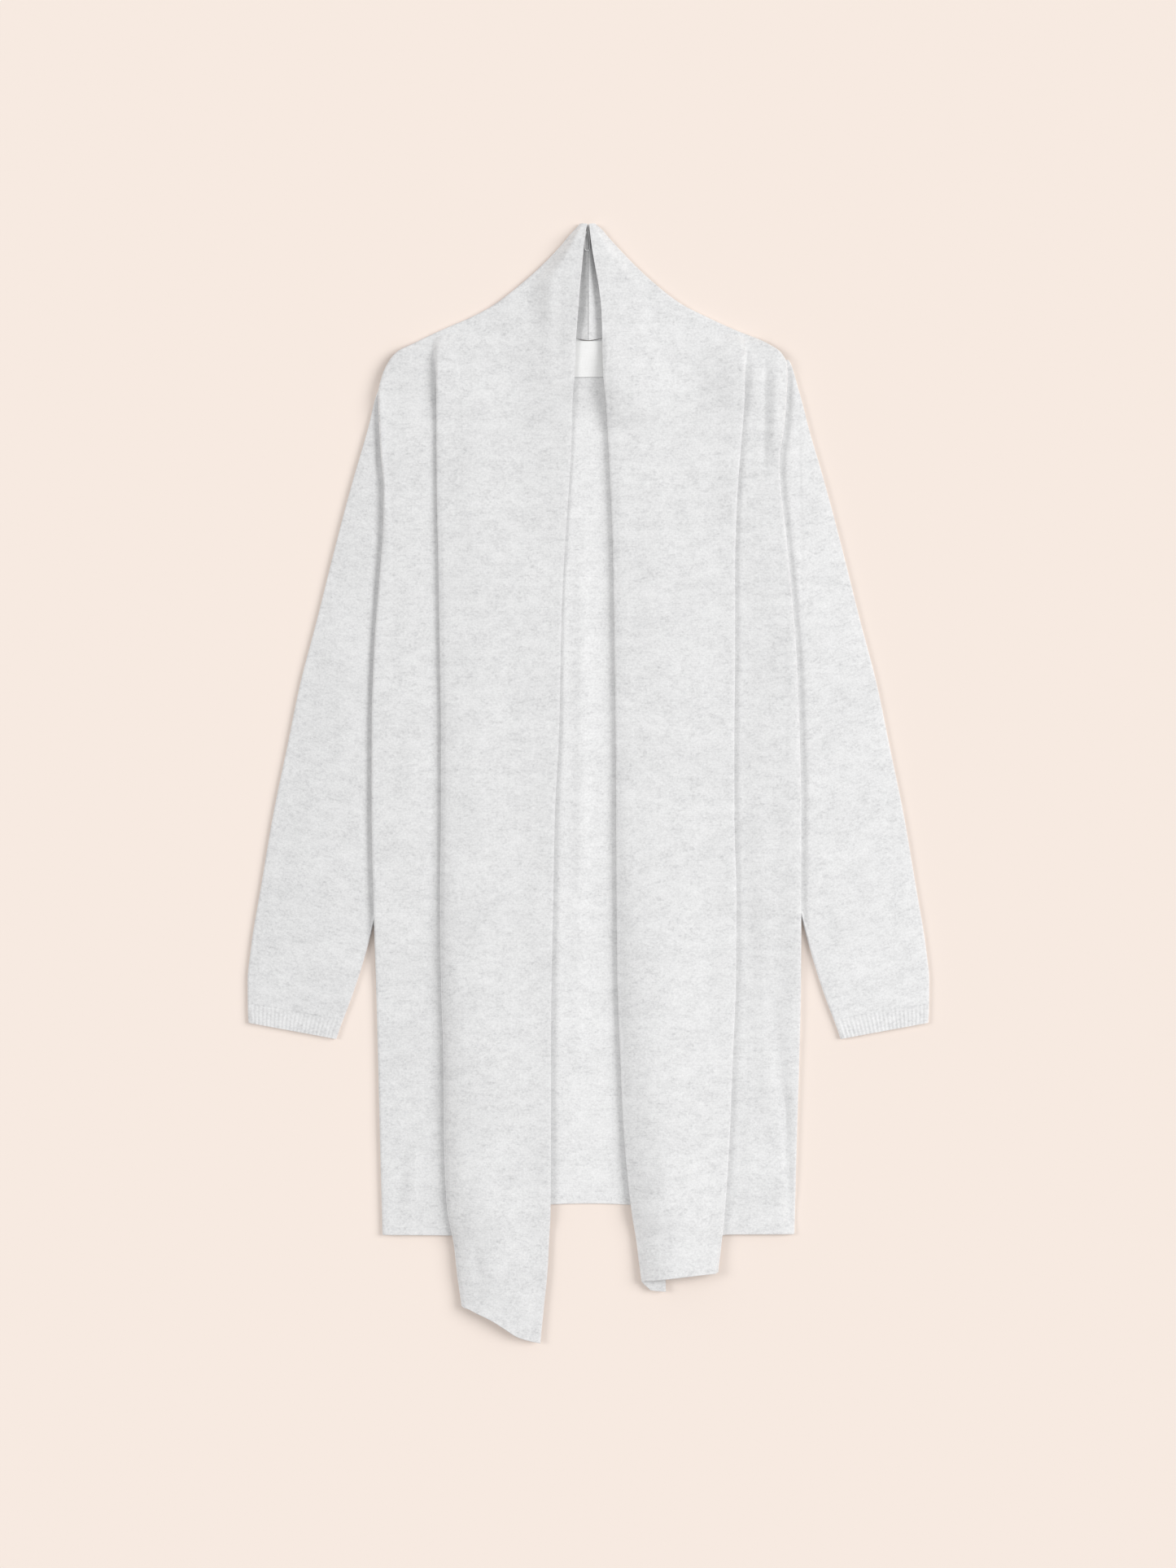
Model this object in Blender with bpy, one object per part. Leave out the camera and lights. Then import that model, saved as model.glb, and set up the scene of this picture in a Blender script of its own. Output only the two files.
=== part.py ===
"""A long shawl collar jacket in fine knit, laid flat on a surface with its front up.

Tables and named sizes are in millimetres, and the meshes in metres. X runs across the garment, Y up to the
collar and Z up from the surface. A drop is the distance down the garment from the peak of the collar. Widths
are distances out from the centre line. Left and right are as seen from above.

Each front is one piece of cloth from its side seam to its free edge. It has a knife pleat that opens from the
shoulder, and it runs on over the shoulder as the collar, which folds over and meets its twin at the centre back.
"""

import math

import bmesh
import bpy
import numpy as np

MM = 0.001

# Driving sizes
LENGTH = 1031.0
CLOTH = 1.8
SEAM_GAP = 0.3
LAYER_PITCH = 2.6
HALF_CLOTH = CLOTH / 2
FOLD_RADIUS = LAYER_PITCH / 2
FOLD_LENGTH = math.pi * FOLD_RADIUS

# Cloth that turns less than this is not folded yet
FOLD_BEGINS = math.radians(25)

# Collar: its fold runs from the peak to the high shoulder, its seam down the centre back
SHOULDER_DROP = 74.25
NECK_DROP = 107.6
NECK_SAG = 6.0

# The collar's centre edge rises a little, down to a drop where that fades out
COLLAR_EDGE_RISE = 1.1
COLLAR_RISE_FADES = (150.0, 195.0)
COLLAR_RISE_WIDTH = 22.0

# Top layer: it comes down past the hidden end of the pleat, with a crest beside the fold
DESCENT = 38.0
CREST_RISES = 16.0
CREST_FALLS = (20.0, 50.0)
ROLL_DESCENT = (24.0, 52.0)

# Sleeve: two walls and the slit between them, under the body where it is hidden
SLEEVE_SLIT = 0.6
SLEEVE_HEIGHT = 2 * CLOTH + SLEEVE_SLIT
SLEEVE_LIFT = SLEEVE_HEIGHT + SEAM_GAP
LIFT_RAMP = 20.0
LIFT_MARGIN = 3.0
SLEEVE_HEAD_DROP = 132.4
HEAD_LIFT_START = 94.0
HEAD_LIFT_END = 116.0
UNDERARM_DROP = 354.4

# Cuff: ribs across its upper side
CUFF_RIBS = 22
RIB_HEIGHT = 0.5

# The back lies inside the fronts' edges: at its sides, and further in at two stretches of the shoulder
BACK_INSET = CLOTH + 1.6 * SEAM_GAP
NECK_POINT_INSET = 1.8
NECK_POINT = (83.0, 101.0)
SHOULDER_POINT_INSET = 1.2
SHOULDER_POINT = (115.0, 150.0)
TIP_DROP = 134.0

# Hems
BACK_HEM_CENTRE = 902.6
BACK_HEM_FALL = 28.5
BACK_HEM_HALF_WIDTH = 189.75
SETTLE_START = 4.0
SETTLE_END = 30.0

# Label and hanger loop
LABEL_WIDTH = 60.0
LABEL_HEIGHT = 33.0
LABEL_THICKNESS = 1.0
LABEL_CENTRE_X = -1.0
LOOP_CORD = 1.0
LOOP_WIDTH = 4.4
LOOP_X = -1.2
LOOP_TOP_DROP = 7.5
LOOP_BOTTOM_DROP = 25.0

FABRIC_GREY = (0.74, 0.745, 0.745, 1.0)
LABEL_WHITE = (0.88, 0.88, 0.87, 1.0)


def table(names, rows):
    """Named columns from a row for each station."""
    return dict(zip(names.split(), np.array(rows, float).T))


# Outer edge of the collar and body: distance from the centre line on each side
BODY_EDGES = table("drop left right", [
    (0.4, 8.2, 6.8),
    (5.0, 12.4, 12.4),
    (11.0, 18.0, 17.3),
    (18.4, 24.0, 24.0),
    (41.0, 45.8, 45.8),
    (63.4, 72.0, 71.3),
    (74.6, 87.0, 87.0),
    (86.0, 108.0, 109.5),
    (97.0, 133.5, 133.5),
    (108.4, 157.5, 161.2),
    (119.6, 177.8, 177.8),
    (131.0, 186.0, 183.0),
    (142.0, 190.5, 183.2),
    (156.4, 193.5, 182.6),
    (183.4, 192.8, 180.8),
    (220.0, 190.5, 176.0),
    (243.4, 188.3, 177.0),
    (269.0, 188.6, 180.0),
    (332.6, 192.8, 186.4),
    (393.4, 197.3, 191.3),
    (468.4, 199.5, 194.3),
    (543.4, 199.5, 195.8),
    (618.4, 198.0, 195.8),
    (693.4, 195.8, 195.8),
    (768.4, 193.9, 194.3),
    (843.4, 192.0, 192.0),
    (931.0, 189.8, 189.8),
])

# Centre edge of each front: distance from the centre line on each side
CENTRE_EDGES = table("drop left right", [
    (0.4, 1.1, 0.8),
    (7.0, 2.3, 1.3),
    (18.4, 3.8, 2.6),
    (41.0, 6.0, 6.4),
    (60.4, 7.9, 9.8),
    (81.4, 9.4, 12.0),
    (106.0, 11.3, 12.8),
    (140.6, 12.8, 13.9),
    (161.0, 14.5, 15.8),
    (212.0, 15.8, 18.8),
    (243.4, 18.0, 20.3),
    (299.6, 21.8, 22.5),
    (363.4, 24.8, 23.6),
    (468.4, 27.0, 25.1),
    (543.4, 30.8, 25.5),
    (618.4, 32.3, 25.9),
    (693.4, 33.8, 26.6),
    (768.4, 34.5, 29.3),
    (843.4, 34.5, 33.0),
    (911.0, 34.9, 39.8),
    (933.4, 36.0, 43.5),
    (963.4, 37.5, 47.3),
    (993.4, 40.5, 51.8),
    (1031.0, 44.3, 56.0),
])

# Knife pleats: the visible fold, how far the cloth turns there, the width tucked under and the crest beside it
PLEATS = {
    "left": table("drop fold tuck turn crest", [
        (97.0, 122.3, 2.2, 0, 0.0),
        (108.4, 138.0, 2.2, 30, 0.0),
        (119.6, 139.5, 2.2, 65, 0.0),
        (131.0, 139.9, 2.2, 100, 0.0),
        (142.0, 139.9, 3.0, 135, 0.0),
        (156.4, 139.9, 6.0, 162, 0.2),
        (183.4, 139.9, 12.0, 180, 0.4),
        (243.4, 139.5, 24.0, 180, 0.6),
        (318.4, 138.0, 37.0, 180, 0.8),
        (393.4, 136.9, 46.0, 180, 0.8),
        (468.4, 135.8, 54.0, 180, 1.0),
        (543.4, 135.8, 58.0, 180, 1.2),
        (618.4, 136.5, 60.0, 180, 1.6),
        (693.4, 135.8, 60.0, 180, 2.0),
        (768.4, 133.5, 60.0, 180, 2.6),
        (843.4, 132.8, 60.0, 180, 3.2),
        (903.4, 130.5, 58.0, 180, 3.6),
        (941.0, 123.8, 54.0, 180, 3.6),
        (963.4, 121.5, 52.0, 180, 3.2),
        (1001.0, 116.3, 45.0, 180, 2.4),
        (1031.0, 113.0, 40.0, 180, 1.6),
    ]),
    "right": table("drop fold tuck turn crest", [
        (97.0, 121.5, 2.2, 0, 0.0),
        (108.4, 140.3, 2.2, 30, 0.0),
        (119.6, 142.5, 2.2, 65, 0.0),
        (131.0, 143.3, 2.2, 100, 0.0),
        (142.0, 143.6, 3.0, 135, 0.0),
        (156.4, 143.6, 5.0, 162, 0.2),
        (183.4, 142.1, 10.0, 180, 0.3),
        (220.0, 139.1, 17.0, 180, 0.4),
        (260.0, 136.5, 25.0, 180, 0.4),
        (318.4, 135.0, 32.0, 180, 0.4),
        (393.4, 135.0, 28.0, 180, 0.4),
        (468.4, 134.3, 30.0, 180, 0.6),
        (543.4, 134.3, 36.0, 180, 0.8),
        (618.4, 136.1, 35.0, 180, 0.8),
        (693.4, 135.8, 35.0, 180, 1.0),
        (768.4, 132.8, 33.0, 180, 1.0),
        (843.4, 129.8, 36.0, 180, 1.2),
        (903.4, 126.0, 34.0, 180, 1.2),
        (941.0, 122.3, 32.0, 180, 1.0),
        (967.0, 119.3, 30.0, 180, 0.8),
        (986.0, 117.8, 30.0, 180, 0.8),
    ]),
}

# Centre edge of the right front: how far the cloth turns under there, and the width tucked under
EDGE_FOLD = table("drop turn tuck", [
    (93.0, 0, 2.5),
    (116.0, 40, 2.5),
    (138.0, 95, 2.5),
    (161.0, 150, 6.0),
    (191.0, 180, 13.0),
    (258.0, 180, 22.0),
    (318.0, 180, 25.0),
    (1031.0, 180, 25.0),
])

# Drop of the hem along the cloth of each front, at the columns named
HEMS = {
    "left": table("column drop", [
        (0, 931.0),
        (6, 932.0),
        (7, 942.0),
        (8, 958.0),
        (12, 961.0),
        (13, 995.0),
        (17, 998.0),
        (18, 1003.5),
        (19, 1009.5),
        (20, 1017.0),
        (21, 1024.5),
        (22, 1028.5),
        (23, 1031.0),
    ]),
    "right": table("column drop", [
        (0, 930.4),
        (6, 931.0),
        (7, 938.0),
        (8, 948.0),
        (12, 950.0),
        (13, 963.5),
        (17, 966.4),
        (20, 969.5),
        (23, 973.5),
        (27, 976.0),
        (28, 983.0),
    ]),
}

# Sleeve from the armhole to the cuff: where each section line meets the outer and the inner edge,
# the share of it that lies clear of the body, and the crown of the upper wall there
SLEEVE = table("outer outer_drop inner inner_drop clear crown", [
    (179.3, 132.4, 184.5, 354.4, 0.20, 0.0),
    (194.3, 155.0, 184.2, 378.0, 0.20, 0.0),
    (203.3, 189.4, 183.6, 412.0, 0.40, 0.2),
    (219.0, 243.4, 183.2, 446.0, 0.65, 0.5),
    (234.8, 303.4, 183.2, 478.0, 0.73, 0.8),
    (249.8, 363.4, 183.6, 510.0, 0.78, 1.0),
    (265.5, 423.4, 184.6, 543.4, 0.82, 1.0),
    (277.9, 483.4, 186.6, 579.4, 0.86, 1.0),
    (290.3, 543.4, 190.8, 616.0, 0.91, 1.0),
    (301.1, 607.0, 199.5, 652.0, 1.00, 1.0),
    (310.5, 663.4, 210.8, 691.0, 1.00, 0.8),
    (314.0, 697.0, 219.8, 717.4, 1.00, 0.5),
    (313.9, 717.4, 225.8, 733.0, 1.00, 0.2),
])
ARMHOLE = {"left": (179.3, 184.5), "right": (170.3, 180.8)}
CUFF = table("outer outer_drop inner inner_drop", [
    (313.9, 717.4, 225.8, 733.0),
    (313.7, 727.0, 229.2, 742.2),
    (313.1, 735.8, 232.1, 750.8),
])

# Rows of the front and back, as drops. From the last one the rows fan out to the hem
COLLAR_ROWS = (0.4, 5.0, 11.5, 22.0, 37.0, 55.0, SHOULDER_DROP)
SHOULDER_ROWS = (82, 90, 98, 106, 114, 122.5, 131)
BODY_ROWS = (142, 155, 172, 195, 225, 262, 305, 352, 402, 455, 510, 570, 635, 702, 770)
ROWS_TO_BACK_HEM = 3
ROWS_TO_FRONT_HEM = 2

# Columns of a front, from its side edge in: the end at the edge, the side panel, two arcs, the top layer
UNDER_COLLAR_COLUMNS = 4
SIDE_COLUMNS = 4
FOLD_STEPS = 4
TOP_SHARES = (0.07, 0.17, 0.34, 0.57, 0.8, 1.0)
LEAST_COLUMN = 1.5

# On a row that is not folded: the widths that count as narrow and wide, and the shares of the width where
# the side panel's columns end and the two arcs' columns lie
NARROW_AND_WIDE = (10.0, 90.0)
FLAT_SHARES = (0.056, (0.07, 0.10), (0.115, 0.15))


def smooth_curve(xs, ys):
    """A function of x through the points, which never swings past them, and is level beyond the ends."""
    step = np.diff(xs)
    rise = np.diff(ys) / step
    slope = np.zeros(len(xs))
    slope[0], slope[-1] = rise[0], rise[-1]
    for i in range(1, len(xs) - 1):
        if rise[i - 1] * rise[i] > 0:
            before, after = 2 * step[i] + step[i - 1], step[i] + 2 * step[i - 1]
            slope[i] = (before + after) / (before / rise[i - 1] + after / rise[i])

    def value(x):
        x = min(max(x, xs[0]), xs[-1])
        i = min(max(int(np.searchsorted(xs, x)) - 1, 0), len(step) - 1)
        t = (x - xs[i]) / step[i]
        start = (1 + 2 * t) * (1 - t) ** 2 * ys[i] + t * (1 - t) ** 2 * step[i] * slope[i]
        end = t * t * (3 - 2 * t) * ys[i + 1] - t * t * (1 - t) * step[i] * slope[i + 1]
        return start + end

    return value


def curves(source, key="drop"):
    """A smooth function of the key column for each other column of a table."""
    return {name: smooth_curve(source[key], source[name]) for name in source if name != key}


def ease(value, low, high):
    """0 below low, 1 above high and smooth between."""
    t = min(max((value - low) / (high - low), 0.0), 1.0)
    return t * t * (3 - 2 * t)


def mix(a, b, share):
    return a + (b - a) * share


EDGE = curves(BODY_EDGES)
CENTRE = curves(CENTRE_EDGES)
PLEAT = {side: curves(PLEATS[side]) for side in PLEATS}
ROLL_UNDER = curves(EDGE_FOLD)
HEM = {side: curves(HEMS[side], "column")["drop"] for side in HEMS}
SLEEVE_INNER = smooth_curve(SLEEVE["inner_drop"], SLEEVE["inner"])
SIGN = {"left": -1.0, "right": 1.0}


def slant(edge, drop):
    """How much longer a row crosses an edge that runs aslant than one that runs straight down."""
    return math.hypot(1.0, edge(drop + 0.5) - edge(drop - 0.5))


def full_lift(side, drop):
    """How far out the body lies fully on the sleeve at this drop: just inside the sleeve's inner edge."""
    top, bottom = ARMHOLE[side]
    share = (drop - SLEEVE_HEAD_DROP) / (UNDERARM_DROP - SLEEVE_HEAD_DROP)
    past_cuff = max(drop - SLEEVE["inner_drop"][-1], 0.0)
    inner = mix(top, bottom, share) if share < 1.0 else SLEEVE_INNER(drop) + past_cuff
    return inner - LIFT_MARGIN


def sleeve_lift(x, drop):
    """How high the sleeve underneath raises the body."""
    side = "left" if x < 0 else "right"
    inner = full_lift(side, drop)
    return SLEEVE_LIFT * ease(abs(x), inner - LIFT_RAMP, inner) * ease(drop, HEAD_LIFT_START, HEAD_LIFT_END)


def lift_stations(side, drop, start):
    """How far out the ramp beside the sleeve ends, half rises and starts, kept inside the cloth's own edge."""
    inner = full_lift(side, drop)
    limit = EDGE[side](drop) - start
    stations = [inner, inner - LIFT_RAMP / 2, inner - LIFT_RAMP]
    return [min(station, limit - (i + 1) * LEAST_COLUMN) for i, station in enumerate(stations)]


def back_hem(x):
    return BACK_HEM_CENTRE + BACK_HEM_FALL * (x / BACK_HEM_HALF_WIDTH) ** 2


def front_level(x, drop):
    """Height that the cloth under a front adds: the sleeve, or the missing back below its hem."""
    past_hem = drop - back_hem(x)
    return sleeve_lift(x, drop) - LAYER_PITCH * ease(past_hem, SETTLE_START, SETTLE_END)


def bent_strip(turn, length, straight):
    """Points of cloth that turns up by an angle over one fold length, and where its straight leg then ends."""
    points = []
    for i in range(FOLD_STEPS + 1):
        angle = turn * i / FOLD_STEPS
        radius = length / max(turn, 1e-6)
        points.append((radius * math.sin(angle), radius * (1 - math.cos(angle))))
    end = points[-1]
    leg_end = (end[0] + straight * math.cos(turn), end[1] + straight * math.sin(turn))
    return points, leg_end


def pleat_points(turn, tuck):
    """The two arcs of a knife pleat, from where the lower layer starts to turn, and its reference point."""
    lower, leg_end = bent_strip(turn, FOLD_LENGTH, tuck)
    upper = []
    for i in range(FOLD_STEPS + 1):
        angle = turn * (1 - i / FOLD_STEPS)
        radius = FOLD_LENGTH / max(turn, 1e-6)
        along = radius * (math.sin(turn) - math.sin(angle))
        up = radius * (math.cos(angle) - math.cos(turn))
        upper.append((leg_end[0] + along, leg_end[1] + up))
    middle = upper[FOLD_STEPS // 2][0] - HALF_CLOTH * math.sin(turn / 2)
    return lower + upper, middle


def flat_shares(count, width):
    """Where the columns of an unfolded row lie: even on a narrow row, closer at the pleat on a wide one."""
    side_ends, lower_arc, upper_arc = FLAT_SHARES
    folded = [mix(0.0, side_ends, (i + 1) / SIDE_COLUMNS) for i in range(SIDE_COLUMNS)]
    folded += list(np.linspace(*lower_arc, FOLD_STEPS + 1)) + list(np.linspace(*upper_arc, FOLD_STEPS + 1))
    folded += [mix(upper_arc[1], 1.0, share) for share in TOP_SHARES]
    even = [(i + 1) / count for i in range(count)]
    wide = ease(width, *NARROW_AND_WIDE)
    return [mix(a, b, wide) for a, b in zip(even, folded)]


def edge_columns(side, drop):
    """The cloth's end at the side edge: down to the surface on the body, round the fold on the collar."""
    slanted = slant(EDGE[side], drop)
    outer = HALF_CLOTH * slanted
    radius = FOLD_RADIUS * slanted
    middle = HALF_CLOTH + FOLD_RADIUS
    turned = (outer + radius * (1 - math.cos(math.pi / 4)), middle + FOLD_RADIUS * math.sin(math.pi / 4))
    if drop <= SHOULDER_DROP:
        first = (outer + radius, HALF_CLOTH)
    else:
        first = (outer, 0.0)
    return [first, (outer, middle), turned, (outer + radius, HALF_CLOTH + LAYER_PITCH)]


def top_height(side, distance, from_edge, width, drop, rise, tuck):
    """Height of the top layer above the side panel, at a distance in from the pleat's fold."""
    past = ease(distance, 0.9 * tuck, tuck + DESCENT)
    crest = PLEAT[side]["crest"](drop) * ease(distance, 0.0, CREST_RISES) * (1 - ease(distance, *CREST_FALLS))
    full, none = min(COLLAR_RISE_WIDTH, 0.45 * width), min(2 * COLLAR_RISE_WIDTH, 0.95 * width)
    collar = COLLAR_EDGE_RISE * (1 - ease(from_edge, full, none)) * (1 - ease(drop, *COLLAR_RISE_FADES))
    height = rise * (1 - past) + crest + collar
    if side == "right":
        turn = math.radians(ROLL_UNDER["turn"](drop))
        leg_end = bent_strip(turn, FOLD_LENGTH, ROLL_UNDER["tuck"](drop))[1]
        height += leg_end[1] * (1 - ease(from_edge, *ROLL_DESCENT))
    return height


def rolled_edge(drop, width, height, before):
    """The right front's centre edge: columns that turn under, past the last one before it, and the tucked end."""
    turn = math.radians(ROLL_UNDER["turn"](drop))
    tuck = ROLL_UNDER["tuck"](drop)
    points, leg_end = bent_strip(turn, FOLD_LENGTH, tuck)
    reach = points[FOLD_STEPS // 2][0] + HALF_CLOTH * math.sin(turn / 2)
    folded = [(width - reach + along, height - down) for along, down in points + [leg_end]]
    last = min(FOLD_LENGTH + tuck, 0.8 * (width - before))
    shares = [i / (FOLD_STEPS + 1) for i in range(FOLD_STEPS + 2)]
    flat = [(width - last * (1 - share), height) for share in shares]
    bend = ease(turn, 0.0, FOLD_BEGINS)
    return [tuple(mix(np.array(a), np.array(b), bend)) for a, b in zip(flat, folded)]


def front_section(side, drop):
    """Middle of the cloth across a front at one drop, as (distance in from the side edge, height)."""
    width = EDGE[side](drop) - CENTRE[side](drop)
    base = HALF_CLOTH + LAYER_PITCH
    turn = math.radians(PLEAT[side]["turn"](drop))
    tuck = PLEAT[side]["tuck"](drop)
    edge = edge_columns(side, drop)
    start = edge[-1][0]
    count = SIDE_COLUMNS + 2 * (FOLD_STEPS + 1) + len(TOP_SHARES)
    flat = [mix(start, width, share) for share in flat_shares(count, width)]

    pleat, middle = pleat_points(turn, tuck)
    fold = EDGE[side](drop) - PLEAT[side]["fold"](drop)
    origin = fold - middle
    rise = pleat[-1][1]
    top_start = origin + pleat[-1][0]
    stations = [EDGE[side](drop) - x for x in lift_stations(side, drop, start)]
    folded = [(along, base) for along in stations + [(stations[-1] + origin) / 2]]
    folded += [(origin + along, base + up) for along, up in pleat]
    folded += [(mix(top_start, width, share), base + rise) for share in TOP_SHARES]

    bend = ease(turn, 0.0, FOLD_BEGINS)
    points = []
    for i, (along, up) in enumerate(folded):
        along = mix(flat[i], along, bend)
        up = mix(base, up, bend)
        if bend == 0.0 or i >= count - len(TOP_SHARES):
            up = base + top_height(side, along - fold, width - along, width, drop, rise * bend, tuck)
        points.append((along, up))
    if side == "right":
        points = points[:-1] + rolled_edge(drop, width, points[-1][1], points[-2][0])
    return edge + points


def front_point(side, column, drop):
    """The middle of the cloth at a column of a front, in garment coordinates: x, drop and height."""
    along, up = front_section(side, drop)[column]
    x = SIGN[side] * (EDGE[side](drop) - along)
    return x, drop, up + front_level(x, drop)


def under_collar_point(side, drop, share):
    """The collar behind its fold, fanned out between the fold line and the centre back seam."""
    start = front_section(side, drop)[0]
    down = (drop - COLLAR_ROWS[0]) / (SHOULDER_DROP - COLLAR_ROWS[0])
    x = mix(EDGE[side](drop) - start[0], SEAM_GAP / 2, share)
    sag = NECK_SAG * down * math.sin(math.pi * share)
    return SIGN[side] * x, drop + down * (NECK_DROP - SHOULDER_DROP) * share + sag, HALF_CLOTH


def world(point):
    """Garment coordinates to millimetres in the part's frame."""
    x, drop, z = point
    return x, LENGTH / 2 - drop, z


def hem_drops(side, column):
    """Drops of a column's last rows: down to the back's hem, across the step off it, and on to its own hem."""
    last, hem = BODY_ROWS[-1], HEM[side](column)
    x = front_point(side, column, BACK_HEM_CENTRE)[0]
    step = min(back_hem(x) + SETTLE_START, hem - 8.0)
    below = min(step + SETTLE_END - SETTLE_START, hem - 4.0)
    drops = [mix(last, step, (i + 1) / ROWS_TO_BACK_HEM) for i in range(ROWS_TO_BACK_HEM)]
    return drops + [mix(below, hem, i / ROWS_TO_FRONT_HEM) for i in range(ROWS_TO_FRONT_HEM + 1)]


def front_grid(side):
    """Rows of points, with None where the cloth has no such column."""
    columns = len(front_section(side, 500.0))
    rows = []
    for drop in COLLAR_ROWS:
        shares = [1 - i / UNDER_COLLAR_COLUMNS for i in range(UNDER_COLLAR_COLUMNS)]
        under = [under_collar_point(side, drop, share) for share in shares]
        rows.append(under + [front_point(side, column, drop) for column in range(columns)])
    levels = [[drop] * columns for drop in SHOULDER_ROWS + BODY_ROWS]
    for drops in levels + list(zip(*[hem_drops(side, column) for column in range(columns)])):
        rows.append([None] * UNDER_COLLAR_COLUMNS + [front_point(side, c, d) for c, d in enumerate(drops)])
    return [[None if p is None else world(p) for p in row] for row in rows]


# Where the neck seam meets the shoulder seams
NECK_HALF_WIDTH = EDGE["left"](SHOULDER_DROP) - front_section("left", SHOULDER_DROP)[0][0]


def neck_seam(x):
    """Drop of the seam between collar and back, at a distance from the centre line."""
    share = min(max(1 - abs(x) / NECK_HALF_WIDTH, 0.0), 1.0)
    return mix(SHOULDER_DROP, NECK_DROP, share) + NECK_SAG * math.sin(math.pi * share)


def back_top(x):
    """Drop of the back's upper edge: the neck seam in the middle and the shoulder seams beside it."""
    edge = EDGE["left" if x < 0 else "right"]
    drops = np.linspace(BODY_EDGES["drop"][0], SHOULDER_ROWS[-1], 120)
    widths = [edge(d) for d in drops]
    shoulder = float(np.interp(abs(x), widths, drops))
    fall = 1.0 / max(slant(edge, shoulder) ** 2 - 1.0, 0.04) ** 0.5
    inset = CLOTH + SEAM_GAP + NECK_POINT_INSET * (1 - ease(abs(x), *NECK_POINT))
    inset += SHOULDER_POINT_INSET * ease(abs(x), *SHOULDER_POINT)
    return max(neck_seam(x) + 1.3 * SEAM_GAP, shoulder + inset * math.hypot(1.0, fall))


def back_widths(drop):
    """Where the back's columns cross a row, from left to right."""
    left, right = (
        [EDGE[side](drop) - BACK_INSET] + lift_stations(side, drop, BACK_INSET) for side in ("left", "right")
    )
    neck = [NECK_HALF_WIDTH * i / UNDER_COLLAR_COLUMNS for i in range(UNDER_COLLAR_COLUMNS + 1)]
    middle = [(left[-1] + NECK_HALF_WIDTH) / -2] + [-x for x in neck[::-1]] + neck[1:]
    middle.append((right[-1] + NECK_HALF_WIDTH) / 2)
    return [-x for x in left] + middle + right[::-1]


def back_grid():
    """Rows of points of the back, from the neck and shoulder seams to the hem."""
    last = BODY_ROWS[-1]
    tops = [back_top(x) for x in back_widths(TIP_DROP)]
    levels = [tops, [mix(top, BODY_ROWS[0], 0.5) for top in tops]]
    levels += [[drop] * len(tops) for drop in BODY_ROWS]
    hems = [back_hem(x) for x in back_widths(BACK_HEM_CENTRE)]
    levels += [[mix(last, hem, share) for hem in hems] for share in (0.5, 1.0)]
    rows = []
    for level in levels:
        row = []
        for column, drop in enumerate(level):
            x = back_widths(max(drop, TIP_DROP))[column]
            row.append(world((x, drop, HALF_CLOTH + sleeve_lift(x, drop))))
        rows.append(row)
    return rows


def offset_sides(grid):
    """The cloth's upper and lower points: half its thickness off the middle, along the mean face direction."""
    rows, columns = len(grid), len(grid[0])
    cells = [
        (i, j)
        for i in range(rows - 1)
        for j in range(columns - 1)
        if None not in (grid[i][j], grid[i + 1][j], grid[i][j + 1], grid[i + 1][j + 1])
    ]
    faces = {(i, j): [] for i in range(rows) for j in range(columns) if grid[i][j] is not None}
    for i, j in cells:
        corners = [np.array(grid[i][j]), np.array(grid[i][j + 1])]
        corners += [np.array(grid[i + 1][j + 1]), np.array(grid[i + 1][j])]
        normal = np.cross(corners[2] - corners[0], corners[3] - corners[1])
        normal /= max(np.linalg.norm(normal), 1e-12)
        for di, dj in ((0, 0), (0, 1), (1, 1), (1, 0)):
            faces[(i + di, j + dj)].append(normal)
    upper, lower = {}, {}
    for key, normals in faces.items():
        mean = np.sum(normals, axis=0)
        mean /= np.linalg.norm(mean)
        spread = max(float(np.mean([mean @ n for n in normals])), 0.8)
        shift = mean * HALF_CLOTH / spread
        middle = np.array(grid[key[0]][key[1]])
        upper[key], lower[key] = middle + shift, middle - shift
    return cells, upper, lower


def mesh_object(name, points, faces, material):
    """A mesh in metres with its faces turned out, shaded smooth."""
    mesh = bpy.data.meshes.new(name)
    mesh.from_pydata([[c * MM for c in (p[0], p[1], max(p[2], 0.0))] for p in points], [], faces)
    work = bmesh.new()
    work.from_mesh(mesh)
    bmesh.ops.recalc_face_normals(work, faces=work.faces)
    work.to_mesh(mesh)
    work.free()
    mesh.shade_smooth()
    mesh.set_sharp_from_angle(angle=math.radians(50))
    mesh.materials.append(material)
    obj = bpy.data.objects.new(name, mesh)
    bpy.context.collection.objects.link(obj)
    return obj


def cloth_object(name, grid, material):
    """A wall of cloth round a grid of middle points, closed at every edge."""
    cells, upper, lower = offset_sides(grid)
    keys = list(upper)
    number = {key: i for i, key in enumerate(keys)}
    count = len(keys)
    faces = []
    edges = {}
    for i, j in cells:
        ring = [number[(i, j)], number[(i, j + 1)], number[(i + 1, j + 1)], number[(i + 1, j)]]
        faces.append(ring)
        faces.append([n + count for n in reversed(ring)])
        for a, b in zip(ring, ring[1:] + ring[:1]):
            edges.setdefault((min(a, b), max(a, b)), []).append((a, b))
    for uses in edges.values():
        if len(uses) == 1:
            a, b = uses[0]
            faces.append([b, a, a + count, b + count])
    points = [upper[key] for key in keys] + [lower[key] for key in keys]
    return mesh_object(name, points, faces, material)


def ring_shares(top_steps):
    """Points round a flattened tube, as (share of the width, direction of the rounded edge or None)."""
    ring = [(share, "bottom") for share in np.linspace(0, 1, 5)]
    ring += [(1.0, angle) for angle in (-45.0, 0.0, 45.0)]
    ring += [(share, "top") for share in np.linspace(1, 0, top_steps + 1)]
    ring += [(0.0, angle) for angle in (135.0, 180.0, 225.0)]
    return ring


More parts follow.
